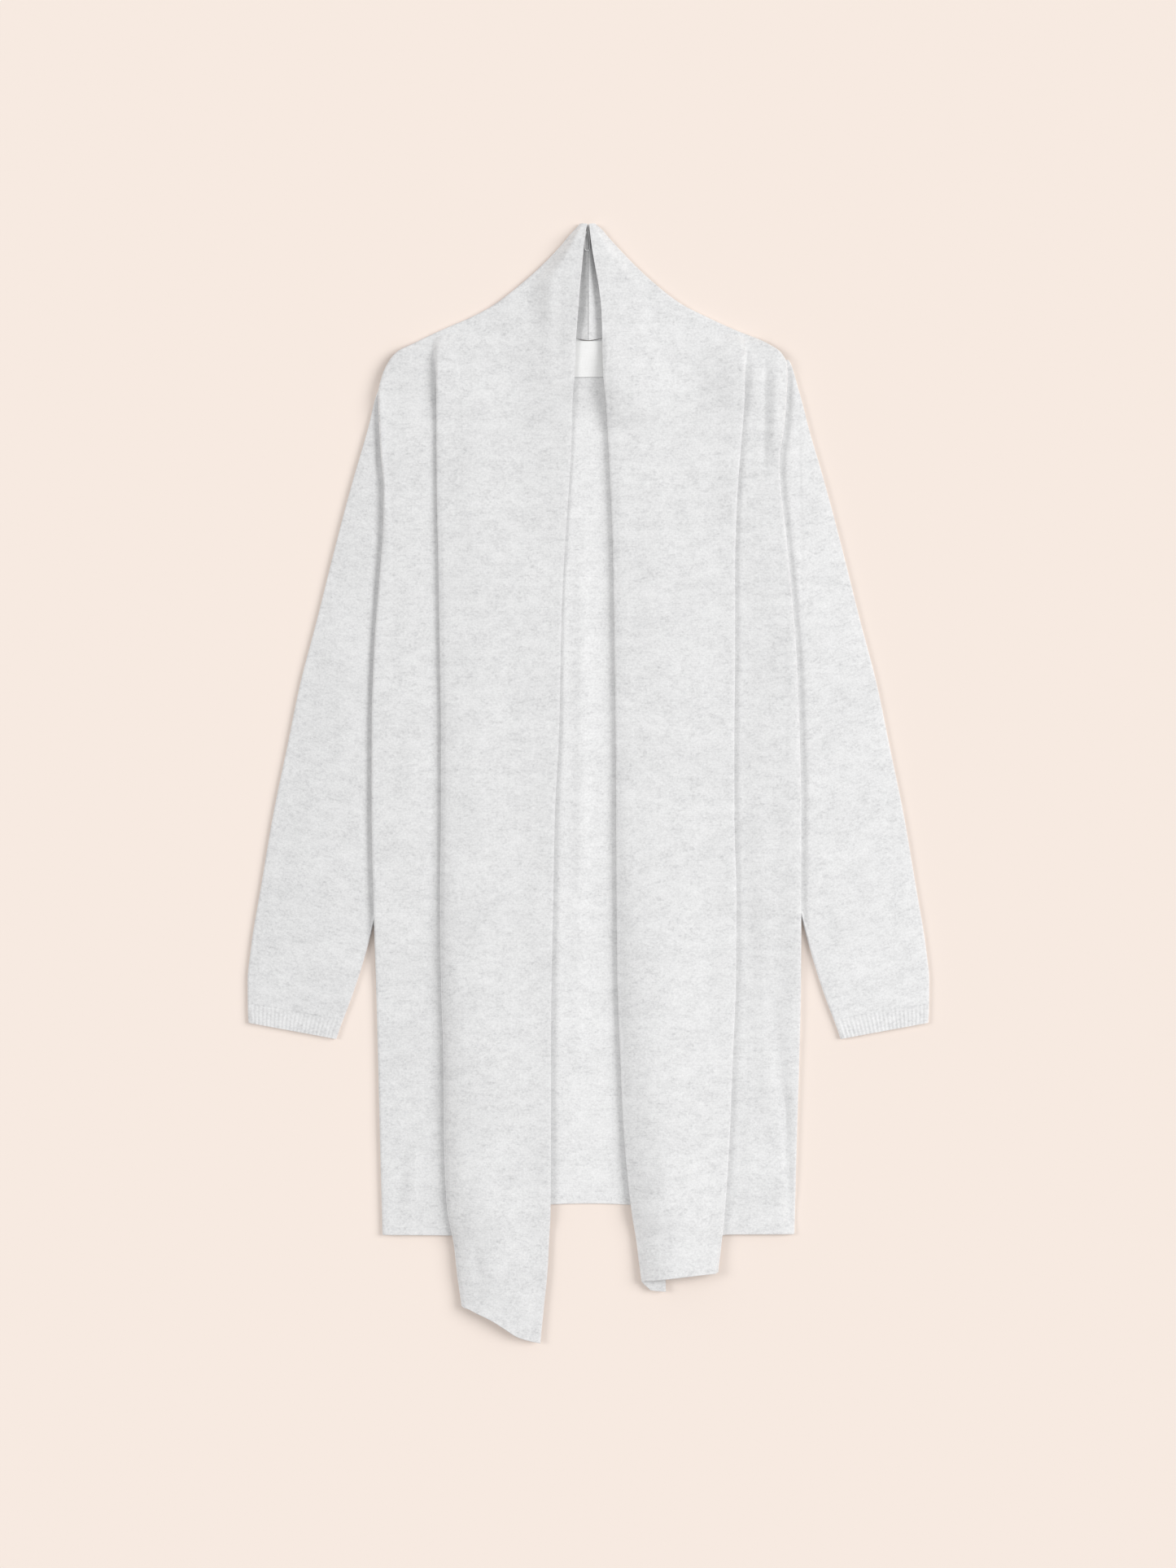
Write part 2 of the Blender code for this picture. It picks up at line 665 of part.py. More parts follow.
def tube_section(outer, inner, inset, top_steps, raise_top):
    """One ring of a flattened tube between two edge points, its wall face moved in by inset."""
    outer, inner = np.array(outer), np.array(inner)
    width = np.linalg.norm(inner - outer)
    across = (inner - outer) / width
    radius = SLEEVE_HEIGHT / 2
    round_edge = radius - inset
    points = []
    for share, where in ring_shares(top_steps):
        along = radius + (width - 2 * radius) * share
        up = radius
        if where == "bottom":
            up -= round_edge
        elif where == "top":
            up += round_edge + raise_top(share)
        else:
            along += round_edge * math.cos(math.radians(where))
            up += round_edge * math.sin(math.radians(where))
        place = outer + across * along
        points.append(world((place[0], place[1], up)))
    return points


def tube_object(name, rings, material):
    """A tube whose wall lies between an outer and an inner ring at each station."""
    count = len(rings[0][0])
    points = [p for outer, inner in rings for p in outer + inner]
    faces = []

    def at(station, layer, i):
        return (2 * station + layer) * count + i % count

    for station in range(len(rings) - 1):
        for layer in range(2):
            for i in range(count):
                quad = [at(station, layer, i), at(station, layer, i + 1)]
                quad += [at(station + 1, layer, i + 1), at(station + 1, layer, i)]
                faces.append(quad if layer == 0 else quad[::-1])
    for station in (0, len(rings) - 1):
        for i in range(count):
            faces.append([at(station, 0, i), at(station, 0, i + 1), at(station, 1, i + 1), at(station, 1, i)])
    return mesh_object(name, points, faces, material)


def sleeve(side, material):
    rings = []
    for i in range(len(SLEEVE["outer"])):
        row = {name: SLEEVE[name][i] for name in SLEEVE}
        if i == 0:
            row["outer"], row["inner"] = ARMHOLE[side]
        outer = (SIGN[side] * row["outer"], row["outer_drop"])
        inner = (SIGN[side] * row["inner"], row["inner_drop"])

        def crown(share, row=row):
            return row["crown"] * math.sin(math.pi * min(share / row["clear"], 1.0)) ** 2

        faces = [tube_section(outer, inner, inset, 6, crown) for inset in (0.0, CLOTH)]
        rings.append(faces)
    return tube_object(f"sleeve_{side}", rings, material)


def cuff(side, material):
    """The ribbed band, a seam's gap below the sleeve."""
    steps = 2 * CUFF_RIBS
    rings = []
    for i in range(len(CUFF["outer"])):
        drop_gap = SEAM_GAP if i == 0 else 0.0
        outer = (SIGN[side] * CUFF["outer"][i], CUFF["outer_drop"][i] + drop_gap)
        inner = (SIGN[side] * CUFF["inner"][i], CUFF["inner_drop"][i] + drop_gap)

        def rib(share):
            return RIB_HEIGHT * (round(share * steps) % 2)

        ribbed = tube_section(outer, inner, 0.0, steps, rib)
        plain = tube_section(outer, inner, CLOTH, steps, lambda share: 0.0)
        rings.append([ribbed, plain])
    return tube_object(f"cuff_{side}", rings, material)


def label(material):
    """A bare woven label, flat on the back just below the neck seam."""
    low = CLOTH + SEAM_GAP
    left, right = LABEL_CENTRE_X - LABEL_WIDTH / 2, LABEL_CENTRE_X + LABEL_WIDTH / 2
    top = NECK_DROP + 2 * SEAM_GAP
    outline = [(left, top), (right, top), (right, top + LABEL_HEIGHT), (left, top + LABEL_HEIGHT)]
    points = [world((x, drop, z)) for z in (low, low + LABEL_THICKNESS) for x, drop in outline]
    faces = [[0, 1, 2, 3], [7, 6, 5, 4]]
    faces += [[i, (i + 1) % 4, (i + 1) % 4 + 4, i + 4] for i in range(4)]
    return mesh_object("label", points, faces, material)


def hanger_loop(material):
    """A cord loop that hangs from the peak, inside the collar."""
    half = LOOP_WIDTH / 2
    height = CLOTH + SEAM_GAP + LOOP_CORD / 2
    route = [(LOOP_X - half, LOOP_TOP_DROP), (LOOP_X - half, (LOOP_TOP_DROP + LOOP_BOTTOM_DROP - half) / 2)]
    for i in range(9):
        angle = math.pi * (1 - i / 8)
        route.append((LOOP_X + half * math.cos(angle), LOOP_BOTTOM_DROP - half + half * math.sin(angle)))
    route += [(2 * LOOP_X - x, drop) for x, drop in reversed(route[:2])]
    curve = bpy.data.curves.new("hanger_loop", "CURVE")
    curve.dimensions = "3D"
    curve.bevel_depth = LOOP_CORD / 2 * MM
    curve.bevel_resolution = 1
    curve.use_fill_caps = True
    spline = curve.splines.new("POLY")
    spline.points.add(len(route) - 1)
    for point, (x, drop) in zip(spline.points, route):
        point.co = (*(c * MM for c in world((x, drop, height))), 1.0)
    curve.materials.append(material)
    obj = bpy.data.objects.new("hanger_loop", curve)
    bpy.context.collection.objects.link(obj)
    return obj


def plain_material(name, color, roughness):
    material = bpy.data.materials.new(name)
    material.use_nodes = True
    shader = material.node_tree.nodes["Principled BSDF"]
    shader.inputs["Base Color"].default_value = color
    shader.inputs["Roughness"].default_value = roughness
    shader.inputs["Metallic"].default_value = 0.0
    return material


def build():
    for obj in list(bpy.data.objects):
        bpy.data.objects.remove(obj, do_unlink=True)
    cloth_object("back", back_grid(), plain_material("back_knit", FABRIC_GREY, 0.95))
    for side in ("left", "right"):
        cloth_object(f"front_{side}", front_grid(side), plain_material(f"front_{side}_knit", FABRIC_GREY, 0.95))
        sleeve(side, plain_material(f"sleeve_{side}_knit", FABRIC_GREY, 0.95))
        cuff(side, plain_material(f"cuff_{side}_rib", FABRIC_GREY, 0.95))
    label(plain_material("label_tape", LABEL_WHITE, 0.6))
    hanger_loop(plain_material("loop_cord", FABRIC_GREY, 0.9))


build()
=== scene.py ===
"""The looks of the long shawl collar jacket, laid flat with its front up.

Each piece of cloth is drawn again as a thin shell on its solid's form, with fine rows and columns, the
creases it lies in, soft edges and its knit. Named sizes and tables are in millimetres, meshes in metres.
A drop is the distance down the garment from the peak of the collar, and widths are distances out from the
centre line.
"""

import math

import bmesh
import bpy
import numpy as np
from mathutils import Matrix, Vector, noise

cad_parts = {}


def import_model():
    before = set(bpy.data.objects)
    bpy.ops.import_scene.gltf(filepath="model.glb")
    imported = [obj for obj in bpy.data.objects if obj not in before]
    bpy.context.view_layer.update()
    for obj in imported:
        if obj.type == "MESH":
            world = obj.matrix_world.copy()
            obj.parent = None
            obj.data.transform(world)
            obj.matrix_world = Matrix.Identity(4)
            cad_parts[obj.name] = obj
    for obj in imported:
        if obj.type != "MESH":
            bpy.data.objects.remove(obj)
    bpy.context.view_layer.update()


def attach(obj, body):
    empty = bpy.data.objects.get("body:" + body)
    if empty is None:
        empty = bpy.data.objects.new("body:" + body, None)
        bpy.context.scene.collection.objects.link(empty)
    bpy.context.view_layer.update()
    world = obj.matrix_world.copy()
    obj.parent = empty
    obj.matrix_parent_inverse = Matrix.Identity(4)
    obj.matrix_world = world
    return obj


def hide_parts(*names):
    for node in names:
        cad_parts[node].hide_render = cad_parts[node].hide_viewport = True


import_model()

MM = 0.001
UP = np.array((0.0, 0.0, 1.0))

# Sizes of the cloth and its layers, as in the part
LENGTH = 1031.0
CLOTH = 1.8
SEAM_GAP = 0.3
LAYER_PITCH = 2.6
HALF_CLOTH = CLOTH / 2
FOLD_RADIUS = LAYER_PITCH / 2
FOLD_LENGTH = math.pi * FOLD_RADIUS
FOLD_BEGINS = math.radians(25)

# Neck and collar, how high the collar's fold stands and where that fades
TOP_DROP = 0.4
SHOULDER_DROP = 74.25
SHOULDER_SETTLES = 6.0
NECK_DROP = 107.6
NECK_SAG = 6.0
COLLAR_EDGE_RISE = 2.4
PEAK_RISE = {"left": 6.5, "right": 1.6}
PEAK_RISE_STARTS = (0.0, 16.0)
PEAK_RISE_FADES = (40.0, 125.0)
COLLAR_RISE_FADES = (150.0, 195.0)
COLLAR_RISE_WIDTH = 24.0
COLLAR_RISE_SHARES = (0.45, 0.95)

# Where the top layer comes down again beside its folds, and how wide the roll is while it lies flat
DESCENT = 76.0
DESCENT_START = 0.9
CREST_FALLS = (30.0, 80.0)
CREST_POWER = 2.6
ROLL_DESCENT = (24.0, 92.0)
FLAT_ROLL_SHARE = 0.13

# Sleeves and cuffs, and how they lift the body
SLEEVE_SLIT = 0.6
SLEEVE_HEIGHT = 2 * CLOTH + SLEEVE_SLIT
SLEEVE_LIFT = SLEEVE_HEIGHT + SEAM_GAP
LIFT_RAMP = 62.0
LIFT_LEAVES = 18.0
LIFT_MARGIN = 3.0
HEAD_LIFT_START = 94.0
HEAD_LIFT_END = 116.0
CUFF_RIBS = 22
RIB_HEIGHT = 0.55
RIB_START_SHARE = 0.5
RIB_FULL_SHARE = 0.5
CUFF_SEAM = 0.05

# Back: how far inside the fronts' outline it ends, and its hem
BACK_INSET = CLOTH + 1.6 * SEAM_GAP
NECK_SEAM_GAP = 1.3 * SEAM_GAP
NECK_POINT_INSET = 1.8
NECK_POINT = (83.0, 101.0)
SHOULDER_POINT_INSET = 1.2
SHOULDER_POINT = (115.0, 150.0)
SHOULDER_END_DROP = 131.0
LEAST_SLANT = 0.04
TIP_DROP = 134.0
BODY_TOP = 142.0
BODY_END = 770.0
BACK_HEM_CENTRE = 902.6
BACK_HEM_FALL = 28.5
BACK_HEM_HALF_WIDTH = 189.75
SETTLE_START = 4.0
SETTLE_END = 30.0

# Label and hanger loop
LABEL_WIDTH = 60.0
LABEL_HEIGHT = 33.0
LABEL_THICKNESS = 0.7
LABEL_CENTRE_X = -1.0
LABEL_LIFT = 0.2
LABEL_BOW = 0.5
LABEL_BOW_WIDTH = 9.0
LABEL_END_RISE = 0.15
LABEL_ENDS = (4.0, 6.0)
LOOP_CORD = 1.3
LOOP_WIDTH = 4.4
LOOP_X = -1.2
LOOP_TOP_DROP = 7.5
LOOP_BOTTOM_DROP = 25.0
LOOP_WIDENS = (3.5, 13.5)

# Rows and columns of the meshes: lengths of a step, counts of steps along each run, and how sharp an edge is
# before it isn't smoothed over
COLLAR_STEP = 1.8
BODY_STEP = 4.5
HEM_SECTION_STEP = 3.0
UNDER_COLLAR_STEPS = 18
EDGE_STEPS = 10
SIDE_STEPS = 30
ARC_STEPS = 8
LEG_STEPS = 6
TOP_STEPS = 64
ROLL_STEPS = 8
HEM_STEPS = (24, 8, 16)
BACK_STEPS = 130
BACK_TOP_STEPS = 15
BACK_HEM_STEPS = 29
SHOULDER_STEPS = 119
SLEEVE_STATIONS = 130
SLEEVE_TOP_STEPS = 60
TUBE_FLOOR_STEPS = 16
TUBE_SIDE_STEPS = 8
CUFF_STATIONS = 18
STEPS_IN_A_RIB = 8
LABEL_STEPS = (60, 33)
LOOP_LEG_STEPS = 8
LOOP_BEND_STEPS = 16
LOOP_SIDES = 12
SHARP_ANGLE = math.radians(60)

# Distances from a free edge of the rows that round it, the radius they round it with and how thin it ends
EDGE_ROUND = 0.5
EDGE_THIN = 0.12
EDGE_DISTANCES = (3.2, 2.2, 1.5, 1.0, 0.65, 0.35, 0.12, 0.0)

# Knit: the width of a column of stitches, the height of a course, and how it is turned in the sleeves
WALE = 1.7
COURSE = 1.3
SLEEVE_TURN = {"left": 14.0, "right": -14.0}

# How light the yarn is in each piece, with painted light in it: the back and the pieces on the right are made
# lighter and those on the left darker, as painted light from the right; and how dark its darkest fibres are
# beside that
TONES_AND_PAINTED_LIGHT = {
    "back": 0.965,
    "front_left": 0.89,
    "front_right": 0.93,
    "sleeve_left": 0.88,
    "sleeve_right": 0.96,
}
DARK_YARN = (0.62, 0.62, 0.625)

# Patterns of the heather yarn: how large they are, where they start, the noise that draws them and the range
# of it that shows
PATTERNS = {
    "patches": {"size": (15, 9, 80), "offset": (3, 5, 0), "noise": (3.0, 0.6, 0.4), "shows": (0.30, 0.70)},
    "flecks": {"size": (3.3, 2.6, 50), "offset": (0, 0, 0), "noise": (2.0, 0.65, 0.3), "shows": (0.42, 0.70)},
    "dashes": {"size": (5.4, 2.4, 50), "offset": (5, 2, 0), "noise": (2.0, 0.6, 0.3), "shows": (0.50, 0.72)},
}
CLOUD_SIZE = (70.0, 34.0, 200.0)
CLOUD_OFFSET = (9.0, 1.0, 0.0)
GRAIN_SIZE = (1.8, 1.8, 1.8)
NAP_SIZE = (0.7, 0.7, 0.7)

# How flecks and dashes gather in the patches, how much each pattern darkens the yarn, and the range of the
# sum that takes it from light to dark
GATHERS = (0.35, 0.8)
DARKENS = {"flecks": 0.31, "dashes": 0.24, "patches": 0.16, "clouds": 0.34, "grain": 0.85, "stitches": -0.20}
SHADE_RANGE = (0.25, 1.50)

# Camera and light, in metres
CAMERA_HEIGHT = 4.0
PHOTO_HEIGHT = 1.44525
PHOTO_CENTRE = (-0.0004, -0.0005)
FLOOR_HALF = 6.0
FLOOR_LEVEL = -0.0002
FLOOR_COLOR = (0.930, 0.823, 0.752, 1.0)
AMBIENT = 0.49


def table(names, rows):
    """Named columns from a row for each station."""
    return dict(zip(names.split(), np.array(rows, float).T))


# The key light from the right and the weaker one from the left: their share of the light and, in degrees, how
# high they stand, which way they lie and how wide they are
LAMPS = table("share elevation azimuth angle", [
    (0.34, 38, 12, 36),
    (0.17, 38, 170, 26),
])

# Outer edge of the collar and body: distance from the centre line on each side
BODY_EDGES = table("drop left right", [
    (0.4, 8.2, 6.8),
    (5, 12.4, 12.4),
    (11, 18, 17.3),
    (18.4, 24, 24),
    (41, 45.8, 45.8),
    (63.4, 72, 71.3),
    (74.6, 87, 87),
    (86, 108, 109.5),
    (97, 133.5, 133.5),
    (108.4, 157.5, 161.2),
    (119.6, 177.8, 177.8),
    (131, 186, 183),
    (142, 190.5, 183.2),
    (156.4, 193.5, 182.6),
    (183.4, 192.8, 180.8),
    (220, 190.5, 176),
    (243.4, 188.3, 177),
    (269, 188.6, 180),
    (332.6, 192.8, 186.4),
    (393.4, 197.3, 191.3),
    (468.4, 199.5, 194.3),
    (543.4, 199.5, 195.8),
    (618.4, 198, 195.8),
    (693.4, 195.8, 195.8),
    (768.4, 193.9, 194.3),
    (843.4, 192, 192),
    (931, 189.8, 189.8),
])

# Centre edge of each front: distance from the centre line on each side
CENTRE_EDGES = table("drop left right", [
    (0.4, 1.1, 0.8),
    (7, 2.3, 1.3),
    (18.4, 3.8, 2.6),
    (41, 6, 6.4),
    (60.4, 7.9, 9.8),
    (81.4, 9.4, 12),
    (106, 11.3, 12.8),
    (140.6, 12.8, 13.9),
    (161, 14.5, 15.8),
    (212, 15.8, 18.8),
    (243.4, 18, 20.3),
    (299.6, 21.8, 22.5),
    (363.4, 24.8, 23.6),
    (468.4, 27, 25.1),
    (543.4, 30.8, 25.5),
    (618.4, 32.3, 25.9),
    (693.4, 33.8, 26.6),
    (768.4, 34.5, 29.3),
    (843.4, 34.5, 33),
    (911, 34.9, 39.8),
    (933.4, 36, 43.5),
    (963.4, 37.5, 47.3),
    (993.4, 40.5, 51.8),
    (1031, 44.3, 56),
])

# Knife pleats: the visible fold, the width tucked under, how far the cloth turns and the crest beside it
PLEATS = {
    "left": table("drop fold tuck turn crest", [
        (97, 122.3, 2.2, 0, 0),
        (108.4, 138, 2.2, 30, 0),
        (119.6, 139.5, 2.2, 65, 0),
        (131, 139.9, 2.2, 100, 0),
        (142, 139.9, 3, 135, 0),
        (156.4, 139.9, 6, 162, 0.2),
        (183.4, 139.9, 12, 180, 0.9),
        (243.4, 139.5, 24, 180, 1.4),
        (318.4, 138, 37, 180, 2),
        (393.4, 136.9, 46, 180, 2.6),
        (468.4, 135.8, 54, 180, 3.4),
        (543.4, 135.8, 58, 180, 4.4),
        (618.4, 136.5, 60, 180, 5.4),
        (693.4, 135.8, 60, 180, 7),
        (768.4, 133.5, 60, 180, 7.8),
        (843.4, 132.8, 60, 180, 8.2),
        (903.4, 130.5, 58, 180, 8.4),
        (941, 123.8, 54, 180, 8),
        (963.4, 121.5, 52, 180, 7),
        (1001, 116.3, 45, 180, 4.8),
        (1031, 113, 40, 180, 2.4),
    ]),
    "right": table("drop fold tuck turn crest", [
        (97, 121.5, 2.2, 0, 0),
        (108.4, 140.3, 2.2, 30, 0),
        (119.6, 142.5, 2.2, 65, 0),
        (131, 143.3, 2.2, 100, 0),
        (142, 143.6, 3, 135, 0),
        (156.4, 143.6, 5, 162, 0.2),
        (183.4, 142.1, 10, 180, 0.3),
        (220, 139.1, 17, 180, 0.4),
        (260, 136.5, 25, 180, 0.4),
        (318.4, 135, 32, 180, 0.4),
        (393.4, 135, 28, 180, 0.4),
        (468.4, 134.3, 30, 180, 0.6),
        (543.4, 134.3, 36, 180, 0.8),
        (618.4, 136.1, 35, 180, 0.8),
        (693.4, 135.8, 35, 180, 1),
        (768.4, 132.8, 33, 180, 1),
        (843.4, 129.8, 36, 180, 1.2),
        (903.4, 126, 34, 180, 1.2),
        (941, 122.3, 32, 180, 1),
        (967, 119.3, 30, 180, 0.8),
        (986, 117.8, 30, 180, 0.8),
    ]),
}

# Centre edge of the right front: how far the cloth turns under there, and the width tucked under
EDGE_FOLD = table("drop turn tuck", [
    (93, 0, 2.5),
    (116, 40, 2.5),
    (138, 95, 2.5),
    (161, 150, 6),
    (191, 180, 13),
    (258, 180, 22),
    (318, 180, 25),
    (930, 180, 25),
    (985, 180, 18.5),
])

# Drop of the hem along the cloth of each front, by the part's own columns
HEMS = {
    "left": table("column drop", [
        (0, 931),
        (6, 932),
        (7, 942),
        (8, 958),
        (12, 961),
        (13, 995),
        (17, 998),
        (18, 1003.5),
        (19, 1009.5),
        (20, 1017),
        (21, 1024.5),
        (22, 1028.5),
        (23, 1031),
    ]),
    "right": table("column drop", [
        (0, 930.4),
        (6, 931),
        (7, 938),
        (8, 948),
        (12, 950),
        (13, 963.5),
        (17, 966.4),
        (20, 969.5),
        (23, 973.5),
        (27, 977),
        (27.25, 982),
        (28, 983.5),
    ]),
}

# Sleeve from the shoulder to the cuff: where each section line meets the outer and the inner edge, the share
# of it that lies clear of the body, and the upper wall's crown. The first lines differ from side to side
SLEEVE_COLUMNS = "outer outer_drop inner inner_drop clear crown"
SLEEVE = table(SLEEVE_COLUMNS, [
    (194.3, 155, 184.2, 378, 0.20, 0),
    (203.3, 189.4, 183.6, 412, 0.40, 0.2),
    (219, 243.4, 183.2, 446, 0.65, 0.5),
    (234.8, 303.4, 183.2, 478, 0.73, 0.8),
    (249.8, 363.4, 183.6, 510, 0.78, 1),
    (265.5, 423.4, 184.6, 543.4, 0.82, 1),
    (277.9, 483.4, 186.6, 579.4, 0.86, 1),
    (290.3, 543.4, 190.8, 616, 0.91, 1),
    (301.1, 607, 199.5, 652, 1.00, 1),
    (310.5, 663.4, 210.8, 691, 1.00, 0.8),
    (314, 697, 219.8, 717.4, 1.00, 0.5),
    (313.9, 717.4, 225.8, 733, 1.00, 0.2),
])
SLEEVE_HEAD = {
    "left": table(SLEEVE_COLUMNS, [
        (179.3, 132.4, 184.5, 354.4, 0.20, 0),
    ]),
    "right": table(SLEEVE_COLUMNS, [
        (170.3, 132.4, 180.8, 354.4, 0.20, 0),
        (183.2, 125, 182.6, 366, 0.20, 0),
    ]),
}
CUFF = table("outer outer_drop inner inner_drop", [
    (313.9, 717.4, 225.8, 733),
    (313.7, 727, 229.2, 742.2),
    (313.1, 735.8, 232.1, 750.8),
])

# Creases: soft ridges and troughs. Each runs from one place to another as (x, drop), with a height, which is
# below zero for a trough, and a half width. At each end it fades over the same share of its length
CREASES = {
    "side": table("x1 drop1 x2 drop2 height width", [
        (-191.5, 150, -189.5, 205, 1, 1.9),
        (-190.5, 192, -187, 268, 1.3, 1.9),
        (-187, 258, -184.6, 285, 1.2, 1.9),
        (-184.6, 275, -185.8, 356, 1.2, 1.9),
        (-183.8, 346, -183.6, 358, -1, 2.4),
        (-166, 838, -177.5, 920, -1.3, 4.5),
        (-156, 834, -168, 922, 0.9, 6),
        (-153, 430, -150, 700, 0.4, 9),
        (-172, 200, -168, 330, 0.4, 8),
        (173.5, 118, 171, 226, 3, 5.5),
        (163.5, 116, 161.5, 240, -1.8, 3.6),
        (181, 142, 173.5, 228, 0.4, 2.3),
        (173.6, 214, 183, 350, 0.4, 2.3),
        (183, 330, 193, 560, 0.4, 2.6),
        (186, 350, 188, 620, 0.9, 7),
        (188, 560, 188, 790, 0.8, 7),
        (186, 760, 184, 925, 0.7, 6),
        (155, 480, 165, 860, 1.2, 9),
        (168, 690, 182, 850, -1.6, 6.5),
        (177, 780, 188.5, 945, -3.2, 5),
        (150, 800, 148, 925, 0.8, 8),
    ]),
    "top": table("x1 drop1 x2 drop2 height width", [
        (-27, 12, -25, 160, -0.55, 4),
        (-36, 16, -35, 150, 0.35, 5),
        (-44, 34, -43, 150, -0.35, 4),
        (34, 30, 37, 150, -0.35, 5),
        (-112, 150, -108, 330, 0.5, 12),
        (-62, 250, -58, 520, 0.5, 14),
        (-70, 640, -66, 900, 0.5, 13),
        (-92, 880, -84, 1000, 0.8, 9),
        (-104, 930, -100, 1002, -0.8, 5),
        (60, 210, 64, 420, 0.5, 12),
        (76, 760, 70, 930, 0.6, 10),
        (105, 860, 100, 960, 0.7, 8),
    ]),
    "back": table("x1 drop1 x2 drop2 height width", [
        (-6, 250, -6, 640, 2, 7),
        (-8, 520, -8, 800, 0.9, 6),
        (12, 560, 16, 800, 0.4, 9),
        (-16, 790, -14, 895, 0.4, 6),
        (3, 150, 2, 300, 0.3, 5),
    ]),
    "sleeve": table("x1 drop1 x2 drop2 height width", [
        (226, 330, 250, 470, 0.6, 10),
        (252, 500, 276, 640, 0.5, 9),
        (214, 250, 224, 350, 0.5, 8),
        (240, 560, 262, 700, -0.5, 7),
        (286, 580, 298, 700, 0.4, 8),
        (224, 610, 250, 712, 0.5, 7),
    ]),
}
CREASE_FADE = 0.25

# Valley in the sleeve beside the body's edge
VALLEY_DEPTH = 1.3
VALLEY_OFFSET = 1.5
VALLEY_WIDTH = 4.0

# Shares of a sleeve's width over which its creases fade beside the body and at its own edges
CLEAR_FADE = 0.12
TUBE_EDGE_FADE = 0.08

# Ripples that the whole garment shares: their height, length and width, and the finer ones among them
RIPPLE_HEIGHT = 0.9
RIPPLE_LENGTH = 75.0
RIPPLE_WIDTH = 30.0
FINE_RIPPLES = 2.3
FINE_SHARE = 0.25
FINE_OFFSET = Vector((7.0, 3.0, 1.0))

# Lips: the hems' last millimetres stand up a little, and so does the under collar at the centre back
HEM_LIP = 0.5
HEM_LIP_WIDTH = 4.5
BACK_LIP = 0.3
CENTRE_RIDGE = 3.4
CENTRE_RIDGE_WIDTH = 1.5
CENTRE_RIDGE_STARTS = (6.0, 20.0)


def smooth_curve(xs, ys):
    """A function of x through the points, which never swings past them, and is level beyond the ends."""
    step = np.diff(xs)
    rise = np.diff(ys) / step
    slope = np.zeros(len(xs))
    slope[0], slope[-1] = rise[0], rise[-1]
    for i in range(1, len(xs) - 1):
        if rise[i - 1] * rise[i] > 0:
            before, after = 2 * step[i] + step[i - 1], step[i] + 2 * step[i - 1]
            slope[i] = (before + after) / (before / rise[i - 1] + after / rise[i])

    def value(x):
        x = np.clip(x, xs[0], xs[-1])
        i = np.clip(np.searchsorted(xs, x) - 1, 0, len(step) - 1)
        t = (x - xs[i]) / step[i]
        start = (1 + 2 * t) * (1 - t) ** 2 * ys[i] + t * (1 - t) ** 2 * step[i] * slope[i]
        end = t * t * (3 - 2 * t) * ys[i + 1] - t * t * (1 - t) * step[i] * slope[i + 1]
        return start + end

    return value


def curves(source, key="drop"):
    """A smooth function of the key column for each other column of a table."""
    return {name: smooth_curve(source[key], source[name]) for name in source if name != key}


def ease(value, low, high):
    """0 below low, 1 above high and smooth between."""
    t = np.clip((value - low) / (high - low), 0.0, 1.0)
    return t * t * (3 - 2 * t)


def mix(a, b, share):
    return a + (b - a) * share


EDGE = curves(BODY_EDGES)
CENTRE = curves(CENTRE_EDGES)
PLEAT = {side: curves(PLEATS[side]) for side in PLEATS}
ROLL_UNDER = curves(EDGE_FOLD)
HEM = {side: curves(HEMS[side], "column")["drop"] for side in HEMS}
SLEEVE_INNER = smooth_curve(SLEEVE["inner_drop"], SLEEVE["inner"])
SIGN = {"left": -1.0, "right": 1.0}

# By drop: how far in from its fold a pleat's crest rises, and the roll's crest and how far in that rises
CREST_RISES = smooth_curve((97.0, 560.0, 760.0, 940.0, 1031.0), (14.0, 18.0, 26.0, 34.0, 34.0))
ROLL_CREST = smooth_curve((161.0, 400.0, 520.0, 700.0, 1031.0), (1.8, 2.1, 3.0, 7.0, 7.6))
ROLL_CREST_RISES = smooth_curve((161.0, 520.0, 700.0, 880.0, 1031.0), (14.0, 15.0, 26.0, 32.0, 32.0))

# The part's own columns across a front: the ends of the side edge, the side panel, the pleat's lower fold,
# its leg, its upper fold and the top layer, and on the right those of the roll and its tuck
EDGE_END = 3
PANEL_END = 8
LOW_FOLD_END = 12
LEG_END = 13
HIGH_FOLD_END = 17
TOP_END = 23
ROLL_END = 27
TUCK_END = 28

# The columns on a row that is not folded, their shares of the width, and the widths between which evenly
# spaced columns give way to these
FLAT_COLUMNS = (EDGE_END, PANEL_END - 1, PANEL_END, LOW_FOLD_END, LEG_END, HIGH_FOLD_END, TOP_END)
FLAT_SHARES = (0.0, 0.056, 0.07, 0.10, 0.115, 0.15, 1.0)
NARROW_AND_WIDE = (10.0, 90.0)

# Columns over which the top layer's creases set in, and the least room for the last rows before a front's hem
TOP_BLEND = 0.6
LAST_STEP_ROOM = 10.0
LAST_RUN_ROOM = 6.0


def crest_shape(distance, width):
    """Rises from 0 at a fold to 1 at the width, steepest at the fold."""
    return 1 - (1 - np.clip(distance / width, 0.0, 1.0)) ** CREST_POWER


def slant(edge, drop):
    """How much longer a row crosses an edge that runs aslant than one that runs straight down."""
    return np.hypot(1.0, edge(drop + 0.5) - edge(drop - 0.5))


def full_lift(side, drop):
    """How far out the body lies fully on the sleeve at this drop."""
    outer, outer_drop, inner, inner_drop = (SLEEVE_HEAD[side][name][0] for name in list(SLEEVE)[:4])
    share = (drop - outer_drop) / (inner_drop - outer_drop)
    past_cuff = np.maximum(drop - SLEEVE["inner_drop"][-1], 0.0)
    inner = np.where(share < 1.0, mix(outer, inner, share), SLEEVE_INNER(drop) + past_cuff)
    return inner - LIFT_MARGIN


